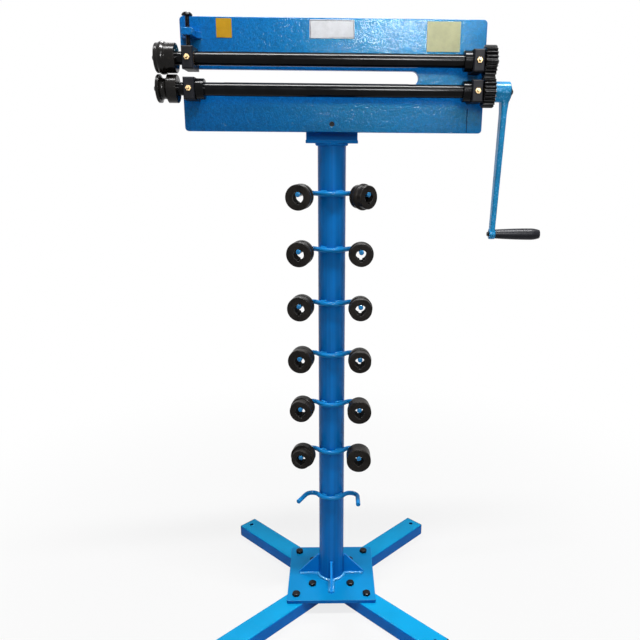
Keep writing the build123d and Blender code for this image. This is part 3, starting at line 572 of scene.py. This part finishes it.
class FormTree(Wiring):
    """A Geometry Nodes tree with named inputs for its sizes."""

    def __init__(self, name, *sizes):
        super().__init__(bpy.data.node_groups.new(name, "GeometryNodeTree"))
        inputs = [("Path", "Geometry"), *((label, "Float") for label in sizes), ("Finish", "Material")]
        for label, kind in inputs:
            self.tree.interface.new_socket(label, in_out="INPUT", socket_type="NodeSocket" + kind)
        self.tree.interface.new_socket("Mesh", in_out="OUTPUT", socket_type="NodeSocketGeometry")
        self.inputs = self.node("NodeGroupInput").outputs

    def drum(self, sides, rings):
        """A cylinder of radius 1 and height 2 with rings on its ends, and the x, y and z of its points."""
        sockets = {"Vertices": sides, "Fill Segments": rings, "Radius": 1.0, "Depth": 2.0}
        made = self.node("GeometryNodeMeshCylinder", sockets, fill_type="NGON")
        return made.outputs["Mesh"], *self.axes(self.node("GeometryNodeInputPosition").outputs["Position"])

    def square_sum(self, x, y):
        return self.maths("ADD", self.maths("MULTIPLY", x, x), self.maths("MULTIPLY", y, y))

    def moved_to(self, geometry, **axes):
        """The geometry with each point at a new place."""
        sockets = {"Geometry": geometry, "Position": self.vector(**axes)}
        return self.node("GeometryNodeSetPosition", sockets).outputs["Geometry"]

    def on_points(self, geometry, tilt=0.0):
        """A copy of the geometry on each point, tilted and then turned by the point's heading."""
        heading = self.node("GeometryNodeInputNamedAttribute", {"Name": "heading"}, data_type="FLOAT")
        turn = self.vector(X=tilt, Z=heading.outputs["Attribute"])
        sockets = {"Points": self.inputs["Path"], "Instance": geometry, "Rotation": turn}
        return self.node("GeometryNodeInstanceOnPoints", sockets).outputs["Instances"]

    def close(self, geometry):
        """Realizes the geometry, gives it its finish and ends the tree."""
        real = self.node("GeometryNodeRealizeInstances", {"Geometry": geometry}).outputs["Geometry"]
        painted = self.node("GeometryNodeSetMaterial", {"Geometry": real, "Material": self.inputs["Finish"]})
        self.node("NodeGroupOutput", {"Mesh": painted.outputs["Geometry"]})
        return self.tree


def weld_tree():
    """A rippled bead along each path, a little off its line."""
    made = FormTree("weld_bead", "Width", "Ripple", "Step")
    width = made.inputs["Width"]
    curve = made.node("GeometryNodeMeshToCurve", {"Mesh": made.inputs["Path"]}).outputs["Curve"]
    sockets = {"Curve": curve, "Length": made.inputs["Step"]}
    fine = made.node("GeometryNodeResampleCurve", sockets, mode="LENGTH").outputs["Curve"]
    waver = made.node("ShaderNodeTexNoise", {"Scale": 120.0}).outputs
    sockets = {0: waver["Color"], 1: (0.5, 0.5, 0.5)}
    off = made.node("ShaderNodeVectorMath", sockets, operation="SUBTRACT").outputs["Vector"]
    sockets = {0: off, "Scale": made.maths("MULTIPLY", width, 0.35)}
    drift = made.node("ShaderNodeVectorMath", sockets, operation="SCALE").outputs["Vector"]
    line = made.node("GeometryNodeSetPosition", {"Geometry": fine, "Offset": drift}).outputs["Geometry"]
    along = made.node("GeometryNodeSplineParameter").outputs["Length"]
    turns = made.maths("DIVIDE", along, made.inputs["Ripple"])
    wave = made.maths("ABSOLUTE", made.maths("SINE", made.maths("MULTIPLY", turns, math.pi)))
    swell = made.maths("ADD", made.maths("MULTIPLY", wave, 0.24), 0.84)
    loose = made.maths("ADD", made.maths("MULTIPLY", waver["Fac"], 0.9), 0.55)
    sockets = {"Resolution": 10, "Radius": made.maths("MULTIPLY", width, 0.5)}
    profile = made.node("GeometryNodeCurvePrimitiveCircle", sockets).outputs["Curve"]
    thick = made.maths("MULTIPLY", swell, loose)
    sockets = {"Curve": line, "Profile Curve": profile, "Scale": thick, "Fill Caps": True}
    bead = made.node("GeometryNodeCurveToMesh", sockets).outputs["Mesh"]
    return made.close(made.node("GeometryNodeSetShadeSmooth", {"Geometry": bead}).outputs["Geometry"])


def bolt_tree():
    """A hex bolt with a chamfered head on each point, standing on it."""
    made = FormTree("hex_bolts", "Flats", "Head", "Radius", "Length")
    flats, length = made.inputs["Flats"], made.inputs["Length"]
    drum, x, y, z = made.drum(48, 2)
    bearing = made.maths("ARCTAN2", y, x)
    fold = made.maths("WRAP", bearing, math.pi / 6, -math.pi / 6)
    crown = made.maths("MULTIPLY", flats, 0.46)
    side = made.maths("DIVIDE", made.maths("MULTIPLY", flats, 0.5), made.maths("COSINE", fold))
    rim = made.maths("GREATER_THAN", made.square_sum(x, y), 0.6)
    beyond = made.maths("MULTIPLY", rim, made.maths("SUBTRACT", side, crown))
    reach = made.maths("ADD", crown, beyond)
    chamfer = made.maths("MULTIPLY", beyond, math.tan(math.radians(30.0)))
    level = made.maths("SUBTRACT", made.inputs["Head"], chamfer)
    head = made.moved_to(
        drum,
        X=made.maths("MULTIPLY", reach, made.maths("COSINE", bearing)),
        Y=made.maths("MULTIPLY", reach, made.maths("SINE", bearing)),
        Z=made.maths("MULTIPLY", made.maths("GREATER_THAN", z, 0.0), level),
    )
    sockets = {"Vertices": 24, "Radius": made.inputs["Radius"], "Depth": length}
    shank = made.node("GeometryNodeMeshCylinder", sockets, fill_type="NGON").outputs["Mesh"]
    down = made.vector(Z=made.maths("MULTIPLY", length, -0.5))
    sunk = made.node("GeometryNodeTransform", {"Geometry": shank, "Translation": down}).outputs["Geometry"]
    both = made.node("GeometryNodeJoinGeometry")
    for part in (head, sunk):
        made.fill(both.inputs["Geometry"], part)
    return made.close(made.on_points(both.outputs["Geometry"]))


def tip_tree():
    """A short round end with a crowned face on each point, lying along its heading."""
    made = FormTree("rod_tips", "Radius", "Length", "Crown")
    drum, x, y, z = made.drum(32, 4)
    out = made.square_sum(x, y)
    fall = made.maths("MULTIPLY", made.maths("MULTIPLY", out, out), made.inputs["Crown"])
    level = made.maths("SUBTRACT", made.inputs["Length"], fall)
    tip = made.moved_to(
        drum,
        X=made.maths("MULTIPLY", x, made.inputs["Radius"]),
        Y=made.maths("MULTIPLY", y, made.inputs["Radius"]),
        Z=made.maths("MULTIPLY", made.maths("GREATER_THAN", z, 0.0), level),
    )
    return made.close(made.on_points(tip, math.pi / 2))


def grown(name, points, runs, tree, headings=None, **values):
    """A plain mesh that a tree grows from points and the edges between them."""
    seed = bpy.data.meshes.new(name + "_path")
    seed.from_pydata(points, runs, [])
    if headings is not None:
        turns = seed.attributes.new("heading", "FLOAT", "POINT")
        turns.data.foreach_set("value", headings)
    carrier = bpy.data.objects.new(name + "_path", seed)
    bpy.context.scene.collection.objects.link(carrier)
    grower = carrier.modifiers.new("grow", "NODES")
    grower.node_group = tree
    for item in tree.interface.items_tree:
        if item.in_out == "INPUT" and item.name in values:
            grower[item.identifier] = values[item.name]
    mesh = plain_mesh(carrier)
    if not mesh.polygons:
        raise RuntimeError(f"nothing grew for {name}")
    return mesh


class Paths:
    """Points and edges of several paths in one list."""

    def __init__(self):
        self.points = []
        self.runs = []

    def line(self, points, closed=False):
        first = len(self.points)
        self.points += [tuple(p) for p in points]
        self.runs += [(first + k, first + k + 1) for k in range(len(points) - 1)]
        if closed:
            self.runs.append((len(self.points) - 1, first))

    def straight(self, start, end, parts, turn=Matrix()):
        """A line of even parts from start to end, turned about the column."""
        rows = [[a + (b - a) * k / parts for a, b in zip(start, end)] for k in range(parts + 1)]
        self.line([turn @ Vector(row) for row in rows])

    def ring(self, radius, height, start=0.0, end=360.0, sides=72):
        """An arc about the column, from start to end degrees; 0 faces the front and 90 the right."""
        count = max(8, round(sides * abs(end - start) / 360.0))
        whole = abs(end - start) >= 360.0
        last = count if whole else count + 1
        angles = [math.radians(start + (end - start) * k / count) for k in range(last)]
        self.line([(radius * math.sin(a), -radius * math.cos(a), height) for a in angles], whole)


class ROLLER_OT_finishes(bpy.types.Operator):
    """Give every solid of the roller its paint, steel, brass or plastic"""

    bl_idname = "roller.finishes"
    bl_label = "Paints and metals"

    def execute(self, context):
        chosen = context.scene.roller_finishes
        tones = {key: tuple(getattr(chosen, key)) for key in RollerFinishes.__annotations__}
        round_x = (1600.0, 20.0, 20.0)
        round_y = (20.0, 1400.0, 20.0)
        slots = {
            # The column's enamel carries painted vertical reflection bands.
            "stand_paint": enamel("column", gloss=0.075, streaks=0.28),
            "head_paint": finished("head_hammertone", hammertone_enamel, tones["head_blue"]),
            "crank_paint": finished("crank_enamel", cast_enamel, tones["crank_blue"]),
            "plug_plastic": finished("plug_moulding", moulded_plastic, tones["plug_grey"], rough=(0.5, 0.66)),
            "bolt_steel": bolt_steel(),
            "block_steel": finished("block_black_casting", blackened_steel, tones["block_black"],
                                    rough=(0.36, 0.50), gloss=0.085, edge_tone=0.05),
            "bronze": finished("bush_bronze", bright_metal, tones["bronze"]),
            "brass": finished("nipple_brass", bright_metal, tones["brass"], rough=(0.40, 0.55)),
            "shaft_steel": finished("shaft_black_steel", blackened_steel, tones["shaft_black"],
                                    marks=round_x, rough=(0.12, 0.17), gloss=0.08, edge_tone=0.05),
            "key_steel": finished("key_bright_steel", bright_metal, tones["key_steel"]),
            # The gears' pale tooth tips are wear, and a painted highlight where light catches them.
            "gear_steel": finished("gear_black_steel", blackened_steel, tones["gear_black"],
                                   marks=round_x, rough=(0.16, 0.28), gloss=0.16, edge_tone=0.30),
            "die_steel": finished("die_black_steel", blackened_steel, tones["die_black"],
                                  marks=round_y, rough=(0.22, 0.36), gloss=0.06, edge_tone=0.14,
                                  edge_radius=1.1 * MM, bore=24.0 * MM),
            "grip_plastic": finished("grip_moulding", moulded_plastic, tones["grip_black"],
                                     rough=(0.30, 0.44), gloss=0.12),
        }
        # Nodes whose finish isn't the one of their slot
        legs = [node for node in frame["nodes"] if node.startswith("leg_") and node != "leg_plugs"]
        own = dict.fromkeys(legs, enamel("leg"))
        own["base_plate"] = enamel("base")
        own["gussets"] = enamel("gusset")
        own["hook_rods"] = own["top_hook_rod"] = wet_enamel("rod", 0.07)
        dim = finished("saddle_enamel", gloss_enamel, tones["column_blue"], gloss=0.02)
        own["saddle_plate"] = own["head_upright"] = dim
        mounted = finished("mounted_die_black_steel", blackened_steel, shade(tones["die_black"], 0.5),
                           marks=round_x, rough=(0.14, 0.24), gloss=0.15, edge_tone=0.10)
        own["lower_die"] = own["upper_die"] = mounted
        for part in frame["record"]["subparts"]:
            mesh = frame["nodes"][part["node"]].data
            mesh.materials.clear()
            mesh.materials.append(own.get(part["node"]) or slots[part["material_slot"]])
        return {"FINISHED"}


class ROLLER_OT_welds(bpy.types.Operator):
    """Lay the weld beads on the column, gussets, hook rods and saddle, and the seam of the head"""

    bl_idname = "roller.welds"
    bl_label = "Weld beads"

    def execute(self, context):
        sizes = context.scene.roller_welds
        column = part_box("column")[1].x
        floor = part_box("base_plate")[1].z
        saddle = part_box("saddle_plate")
        feet, risers, under, hooks, seam = (Paths() for _ in range(5))
        feet.ring(column + FOOT_OUT, floor + FOOT_UP)
        gusset_feet_and_risers(feet, risers, column, floor)
        left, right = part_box("head_upright")
        behind, level = right.y + SIDE_OUT, saddle[1].z + SIDE_UP
        feet.straight((left.x + UPRIGHT_ENDS, behind, level), (right.x - UPRIGHT_ENDS, behind, level), 12)
        under.ring(column + SADDLE_OUT, saddle[0].z - SADDLE_DOWN)
        for height in HOOK_HEIGHTS:
            for start, end in HOOK_ARCS:
                hooks.ring(column + HOOK_OUT, height + HOOK_UP, start, end, 90)
        sunk = HEAD_FACE + 0.2 * sizes.seam_width
        seam.straight((SEAM_X, sunk, SEAM_LOW), (SEAM_X, sunk, SEAM_HIGH), 10)
        dull = finished("seam_enamel", gloss_enamel, shade(context.scene.roller_finishes.head_blue, 0.30))
        beads = (
            # The foot welds' lighter tone is a painted highlight for their glints.
            ("foot_welds", feet, sizes.width, wet_enamel("weld", 0.55), "stand_paint"),
            ("saddle_weld", under, sizes.saddle_width, bpy.data.materials["saddle_enamel"], "stand_paint"),
            ("riser_welds", risers, sizes.riser_width, enamel("column"), "stand_paint"),
            ("hook_welds", hooks, sizes.hook_width, enamel("rod"), "stand_paint"),
            ("head_seam", seam, sizes.seam_width, dull, "head_paint"),
        )
        tree = weld_tree()
        for name, paths, width, paint, slot in beads:
            mesh = grown(name, paths.points, paths.runs, tree,
                         Width=width, Ripple=sizes.ripple, Step=BEAD_STEP, Finish=paint)
            new_piece(name, mesh, "stand")
        return {"FINISHED"}


def gusset_feet_and_risers(feet, risers, column, floor):
    """Adds the lines along both sides of the four gussets, on the base plate and up the column."""
    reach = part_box("gussets")[1]
    inner, outer = column + GUSSET_FOOT_ENDS[0], reach.x - GUSSET_FOOT_ENDS[1]
    low, high = floor + GUSSET_RISER_ENDS[0], reach.z - GUSSET_RISER_ENDS[1]
    level, out = floor + SIDE_UP, column + RISER_OUT
    for quarter in range(4):
        turn = Matrix.Rotation(math.radians(90.0 * quarter), 4, "Z")
        for side in (-1, 1):
            across = side * (GUSSET_HALF + SIDE_OUT)
            feet.straight((inner, across, level), (outer, across, level), 6, turn)
            risers.straight((out, across, low), (out, across, high), 6, turn)


class ROLLER_OT_hook_tips(bpy.types.Operator):
    """Crown the painted ends of the hook rods that carry dies"""

    bl_idname = "roller.hook_tips"
    bl_label = "Hook tips"

    def execute(self, context):
        sizes = context.scene.roller_tips
        rods = [v.co for node in ("hook_rods", "top_hook_rod") for v in frame["nodes"][node].data.vertices]
        points = []
        headings = []
        for joint in frame["joints"]:
            if "_die_" not in joint["name"]:
                continue
            along = Vector(joint["axis"])
            points.append(rod_end(rods, joint["child"], along) - TIP_CHAMFER * along)
            headings.append(math.atan2(along.x, -along.y))
        mesh = grown("hook_tips", points, [], tip_tree(), headings, Radius=sizes.radius, Length=sizes.length,
                     Crown=sizes.crown, Finish=wet_enamel("tip", 0.25))
        new_piece("hook_tips", mesh, "stand")
        return {"FINISHED"}


def rod_end(rods, die, along):
    """The middle of the end of the rod that carries a die, from the rods' points near it."""
    low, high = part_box(die)
    near = [v for v in rods if (v - (low + high) / 2).length < TIP_SEARCH]
    far = max(v.dot(along) for v in near)
    end = [v for v in near if v.dot(along) > far - TIP_FLAT]
    return Vector([(min(v[k] for v in end) + max(v[k] for v in end)) / 2 for k in range(3)])


class ROLLER_OT_base_bolts(bpy.types.Operator):
    """Set the eight hex bolts that hold the base plate to the legs"""

    bl_idname = "roller.base_bolts"
    bl_label = "Base bolts"

    def execute(self, context):
        sizes = context.scene.roller_screws
        low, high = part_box("base_bolts")
        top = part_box("base_plate")[1].z
        points = []
        headings = []
        for quarter in range(4):
            angle = math.radians(45.0 + 90.0 * quarter)
            for radius in BOLT_CIRCLES:
                points.append((radius * math.cos(angle), radius * math.sin(angle), top))
                headings.append(angle + BOLT_TWIST * math.sin(BOLT_SPREAD * len(points)))
        mesh = grown("base_bolts_hex", points, [], bolt_tree(), headings, Flats=sizes.bolt_flats,
                     Head=high.z - top, Radius=sizes.bolt_radius, Length=top - low.z, Finish=bolt_steel())
        new_piece("base_bolts_hex", mesh, "stand", ("base_bolts",))
        return {"FINISHED"}


class ROLLER_OT_labels(bpy.types.Operator):
    """Put three blank label plates on the front of the head"""

    bl_idname = "roller.labels"
    bl_label = "Label plates"

    def execute(self, context):
        sizes = context.scene.roller_labels
        ink = finished("label_border_ink", label_vinyl, LABEL_INK)
        for tone, *edges, margin in LABELS:
            name = "label_" + tone
            mesh = label_plate(*(edge * MM for edge in edges), margin * MM, sizes)
            mesh.materials.append(finished(name + "_vinyl", label_vinyl, tuple(getattr(sizes, tone))))
            mesh.materials.append(ink)
            new_piece(name, mesh, "stand")
        return {"FINISHED"}


def label_plate(left, right, low, high, margin, sizes):
    """A thin plate with round corners and a softened rim; margin insets a dark line."""
    build = bmesh.new()
    radius = sizes.corner
    left, right, low, high = left + radius, right - radius, low + radius, high - radius
    outline = []
    for x, z, start in ((right, high, 0.0), (left, high, 90.0), (left, low, 180.0), (right, low, 270.0)):
        for k in range(LABEL_CORNER_PARTS + 1):
            angle = math.radians(start + 90.0 * k / LABEL_CORNER_PARTS)
            place = (x + radius * math.cos(angle), HEAD_FACE, z + radius * math.sin(angle))
            outline.append(build.verts.new(place))
    walls = bmesh.ops.extrude_face_region(build, geom=[build.faces.new(outline)])
    front = [f for f in walls["geom"] if isinstance(f, bmesh.types.BMFace)]
    bmesh.ops.translate(build, verts=list(front[0].verts), vec=(0.0, -sizes.thickness, 0.0))
    bmesh.ops.inset_region(build, faces=front, thickness=LABEL_RIM, depth=0.0)
    bmesh.ops.translate(build, verts=list(front[0].verts), vec=(0.0, -LABEL_CROWN, 0.0))
    if margin:
        bmesh.ops.inset_region(build, faces=front, thickness=margin, depth=0.0)
        for dark in bmesh.ops.inset_region(build, faces=front, thickness=LABEL_LINE, depth=0.0)["faces"]:
            dark.material_index = 1
    return mesh_from(build, "label")


class ROLLER_OT_adjusting_screw(bpy.types.Operator):
    """Make the threaded adjusting screw with its domed head"""

    bl_idname = "roller.adjusting_screw"
    bl_label = "Adjusting screw"

    def execute(self, context):
        sizes = context.scene.roller_screws
        low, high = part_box("adjusting_screw")
        centre = (low.x + high.x) / 2
        head_radius = (high.x - low.x) / 2
        step = sizes.thread_pitch / THREAD_STEPS
        levels = int((high.z - THREAD_START - low.z - THREAD_END) / step)
        rings = [(head_radius * share, high.z - depth * MM) for share, depth in SCREW_DOME]
        rings.append((SCREW_RADIUS * 1.02, high.z - SCREW_NECK))
        rings += [(None, high.z - THREAD_START - step * k) for k in range(levels)]
        rings += [(radius * MM, low.z + height * MM) for radius, height in SCREW_FOOT]
        build = bmesh.new()
        rows = []
        for radius, height in rings:
            row = []
            for k in range(SCREW_SIDES if radius != 0.0 else 1):
                angle = 2 * math.pi * k / SCREW_SIDES
                reach = thread_radius(height, k / SCREW_SIDES, sizes) if radius is None else radius
                place = (centre + reach * math.cos(angle), SHAFT_LINE + reach * math.sin(angle), height)
                row.append(build.verts.new(place))
            rows.append(row)
        for upper, lower in zip(rows, rows[1:]):
            for k in range(SCREW_SIDES):
                after = (k + 1) % SCREW_SIDES
                if len(upper) == 1:
                    face = build.faces.new((upper[0], lower[k], lower[after]))
                elif len(lower) == 1:
                    face = build.faces.new((upper[k], lower[0], upper[after]))
                else:
                    face = build.faces.new((upper[k], lower[k], lower[after], upper[after]))
                face.smooth = True
        mesh = mesh_from(build, "adjusting_screw_threaded")
        mesh.materials.append(bolt_steel())
        new_piece("adjusting_screw_threaded", mesh, "adjusting_screw", ("adjusting_screw",))
        return {"FINISHED"}


def thread_radius(height, turn, sizes):
    """The adjusting screw's radius at a height and part of a turn, with flat crests and roots."""
    phase = (height / sizes.thread_pitch - turn) % 1.0
    sunk = min(1.0, max(0.0, THREAD_SLOPE * abs(phase - 0.5) - THREAD_CREST))
    return SCREW_RADIUS - sizes.thread_depth * sunk


class ROLLER_OT_crank_casting(bpy.types.Operator):
    """Round the crank off into one soft-edged casting"""

    bl_idname = "roller.crank_casting"
    bl_label = "Crank casting"

    def execute(self, context):
        form = mesh_from(merged_copy("crank_arm"), "crank_casting")
        carrier = bpy.data.objects.new("crank_casting_form", form)
        context.scene.collection.objects.link(carrier)
        skin = carrier.modifiers.new("skin", "REMESH")
        skin.mode = "VOXEL"
        skin.voxel_size = CASTING_VOXEL
        soften = carrier.modifiers.new("soften", "SMOOTH")
        soften.factor = 0.5
        soften.iterations = CASTING_PASSES
        casting = plain_mesh(carrier)
        if len(casting.polygons) < 1000:
            raise RuntimeError("the crank casting came out empty")
        casting.shade_smooth()
        casting.materials.clear()
        casting.materials.append(bpy.data.materials["crank_enamel"])
        new_piece("crank_casting", casting, "lower_shaft", ("crank_arm",))
        return {"FINISHED"}


class ROLLER_OT_stage(bpy.types.Operator):
    """Set the floor, the soft light and the camera"""

    bl_idname = "roller.stage"
    bl_label = "Studio"

    def execute(self, context):
        levels = context.scene.roller_stage
        studio_room(levels.ambient)
        studio_floor()
        for name, sides, place, target, gloss_only in LAMPS:
            stand = lamp(name, getattr(levels, name), sides, place, target)
            stand.visible_diffuse = not gloss_only
        studio_camera(levels.lens)
        context.scene.view_settings.view_transform = "Standard"
        return {"FINISHED"}


def white_rays(wiring):
    """1 for rays that see the white: from the camera, in reflections and through glass."""
    rays = wiring.node("ShaderNodeLightPath").outputs
    seen = wiring.maths("MAXIMUM", rays["Is Camera Ray"], rays["Is Glossy Ray"])
    return wiring.maths("MAXIMUM", seen, rays["Is Transmission Ray"])


def studio_room(ambient):
    """White behind everything and in reflections, softer where it lights the roller."""
    world = bpy.data.worlds.new("studio_room")
    bpy.context.scene.world = world
    world.use_nodes = True
    wiring = Wiring(world.node_tree)
    soft = wiring.node("ShaderNodeBackground", {"Color": WHITE, "Strength": ambient}).outputs["Background"]
    white = wiring.node("ShaderNodeBackground", {"Color": WHITE, "Strength": 1.0}).outputs["Background"]
    mix = wiring.node("ShaderNodeMixShader", {"Fac": white_rays(wiring), 1: soft, 2: white})
    wiring.node("ShaderNodeOutputWorld", {"Surface": mix.outputs["Shader"]})


def studio_floor():
    """A wide white floor that keeps a faint shadow."""
    build = bmesh.new()
    bmesh.ops.create_grid(build, x_segments=4, y_segments=4, size=FLOOR_HALF)
    mesh = mesh_from(build, "studio_floor")
    floor = bpy.data.objects.new("studio_floor", mesh)
    bpy.context.scene.collection.objects.link(floor)
    material = bpy.data.materials.new("studio_white")
    material.use_nodes = True
    wiring = Wiring(material.node_tree)
    matt = wiring.node("ShaderNodeBsdfDiffuse", {"Color": FLOOR_GREY}).outputs["BSDF"]
    glow = wiring.node("ShaderNodeEmission", {"Color": WHITE, "Strength": 1.0}).outputs["Emission"]
    place = wiring.node("ShaderNodeTexCoord").outputs["Object"]
    away = wiring.node("ShaderNodeVectorMath", {0: place}, operation="LENGTH").outputs["Value"]
    white = wiring.span(away, FLOOR_NEAR, FLOOR_FAR, FLOOR_NEAR_WHITE, 1.0)
    share = wiring.maths("MULTIPLY", white_rays(wiring), white)
    mix = wiring.node("ShaderNodeMixShader", {"Fac": share, 1: matt, 2: glow})
    wiring.node("ShaderNodeOutputMaterial", {"Surface": mix.outputs["Shader"]})
    mesh.materials.append(material)


def lamp(name, watts, sides, place, target):
    """A soft rectangular lamp that faces a point."""
    light = bpy.data.lights.new(name, "AREA")
    light.shape = "RECTANGLE"
    light.size, light.size_y = sides
    light.energy = watts
    stand = bpy.data.objects.new(name, light)
    stand.location = place
    stand.rotation_euler = (Vector(target) - Vector(place)).to_track_quat("-Z", "Y").to_euler()
    bpy.context.scene.collection.objects.link(stand)
    return stand


def studio_camera(lens):
    """The camera that looks down a little on the head and the whole stand."""
    pitch, yaw, roll = CAMERA_PITCH, CAMERA_YAW, CAMERA_ROLL
    ahead = Vector((math.sin(yaw) * math.cos(pitch), math.cos(yaw) * math.cos(pitch), -math.sin(pitch)))
    right = Vector((math.cos(yaw), -math.sin(yaw), 0.0))
    up = right.cross(ahead)
    side = math.cos(roll) * right + math.sin(roll) * up
    top = math.cos(roll) * up - math.sin(roll) * right
    data = bpy.data.cameras.new("studio_camera")
    data.lens = lens
    data.sensor_width = 36.0
    data.sensor_fit = "HORIZONTAL"
    data.shift_x, data.shift_y = CAMERA_SHIFT
    data.clip_start = 0.05
    camera = bpy.data.objects.new("studio_camera", data)
    turned = Matrix((side, top, -ahead)).transposed().to_4x4()
    camera.matrix_world = Matrix.Translation(CAMERA_PLACE) @ turned
    bpy.context.scene.collection.objects.link(camera)
    bpy.context.scene.camera = camera


class ROLLER_PT_pieces(bpy.types.Panel):
    """The roller's pieces, and the sizes and colours that can be changed"""

    bl_idname = "ROLLER_PT_pieces"
    bl_label = "Bead roller"
    bl_space_type = "VIEW_3D"
    bl_region_type = "UI"
    bl_category = "Bead roller"

    def draw(self, context):
        for operator in OPERATORS:
            self.layout.operator(operator.bl_idname)
        for holder in SETTINGS:
            box = self.layout.box()
            for key in SETTINGS[holder].__annotations__:
                box.prop(getattr(context.scene, holder), key)


SETTINGS = {
    "roller_finishes": RollerFinishes,
    "roller_welds": RollerWelds,
    "roller_tips": RollerTips,
    "roller_labels": RollerLabels,
    "roller_screws": RollerScrews,
    "roller_stage": RollerStage,
}

OPERATORS = (
    ROLLER_OT_finishes,
    ROLLER_OT_welds,
    ROLLER_OT_hook_tips,
    ROLLER_OT_base_bolts,
    ROLLER_OT_labels,
    ROLLER_OT_adjusting_screw,
    ROLLER_OT_crank_casting,
    ROLLER_OT_stage,
)


def register():
    for made in (*SETTINGS.values(), *OPERATORS, ROLLER_PT_pieces):
        bpy.utils.register_class(made)
    for holder, group in SETTINGS.items():
        setattr(bpy.types.Scene, holder, PointerProperty(type=group))


def unregister():
    for holder in SETTINGS:
        delattr(bpy.types.Scene, holder)
    for made in (ROLLER_PT_pieces, *reversed(OPERATORS), *reversed(SETTINGS.values())):
        bpy.utils.unregister_class(made)


def main():
    register()
    bpy.ops.roller.finishes()
    bpy.ops.roller.welds()
    bpy.ops.roller.hook_tips()
    bpy.ops.roller.base_bolts()
    bpy.ops.roller.labels()
    bpy.ops.roller.adjusting_screw()
    bpy.ops.roller.crank_casting()
    bpy.ops.roller.stage()


if __name__ == "__main__":
    main()
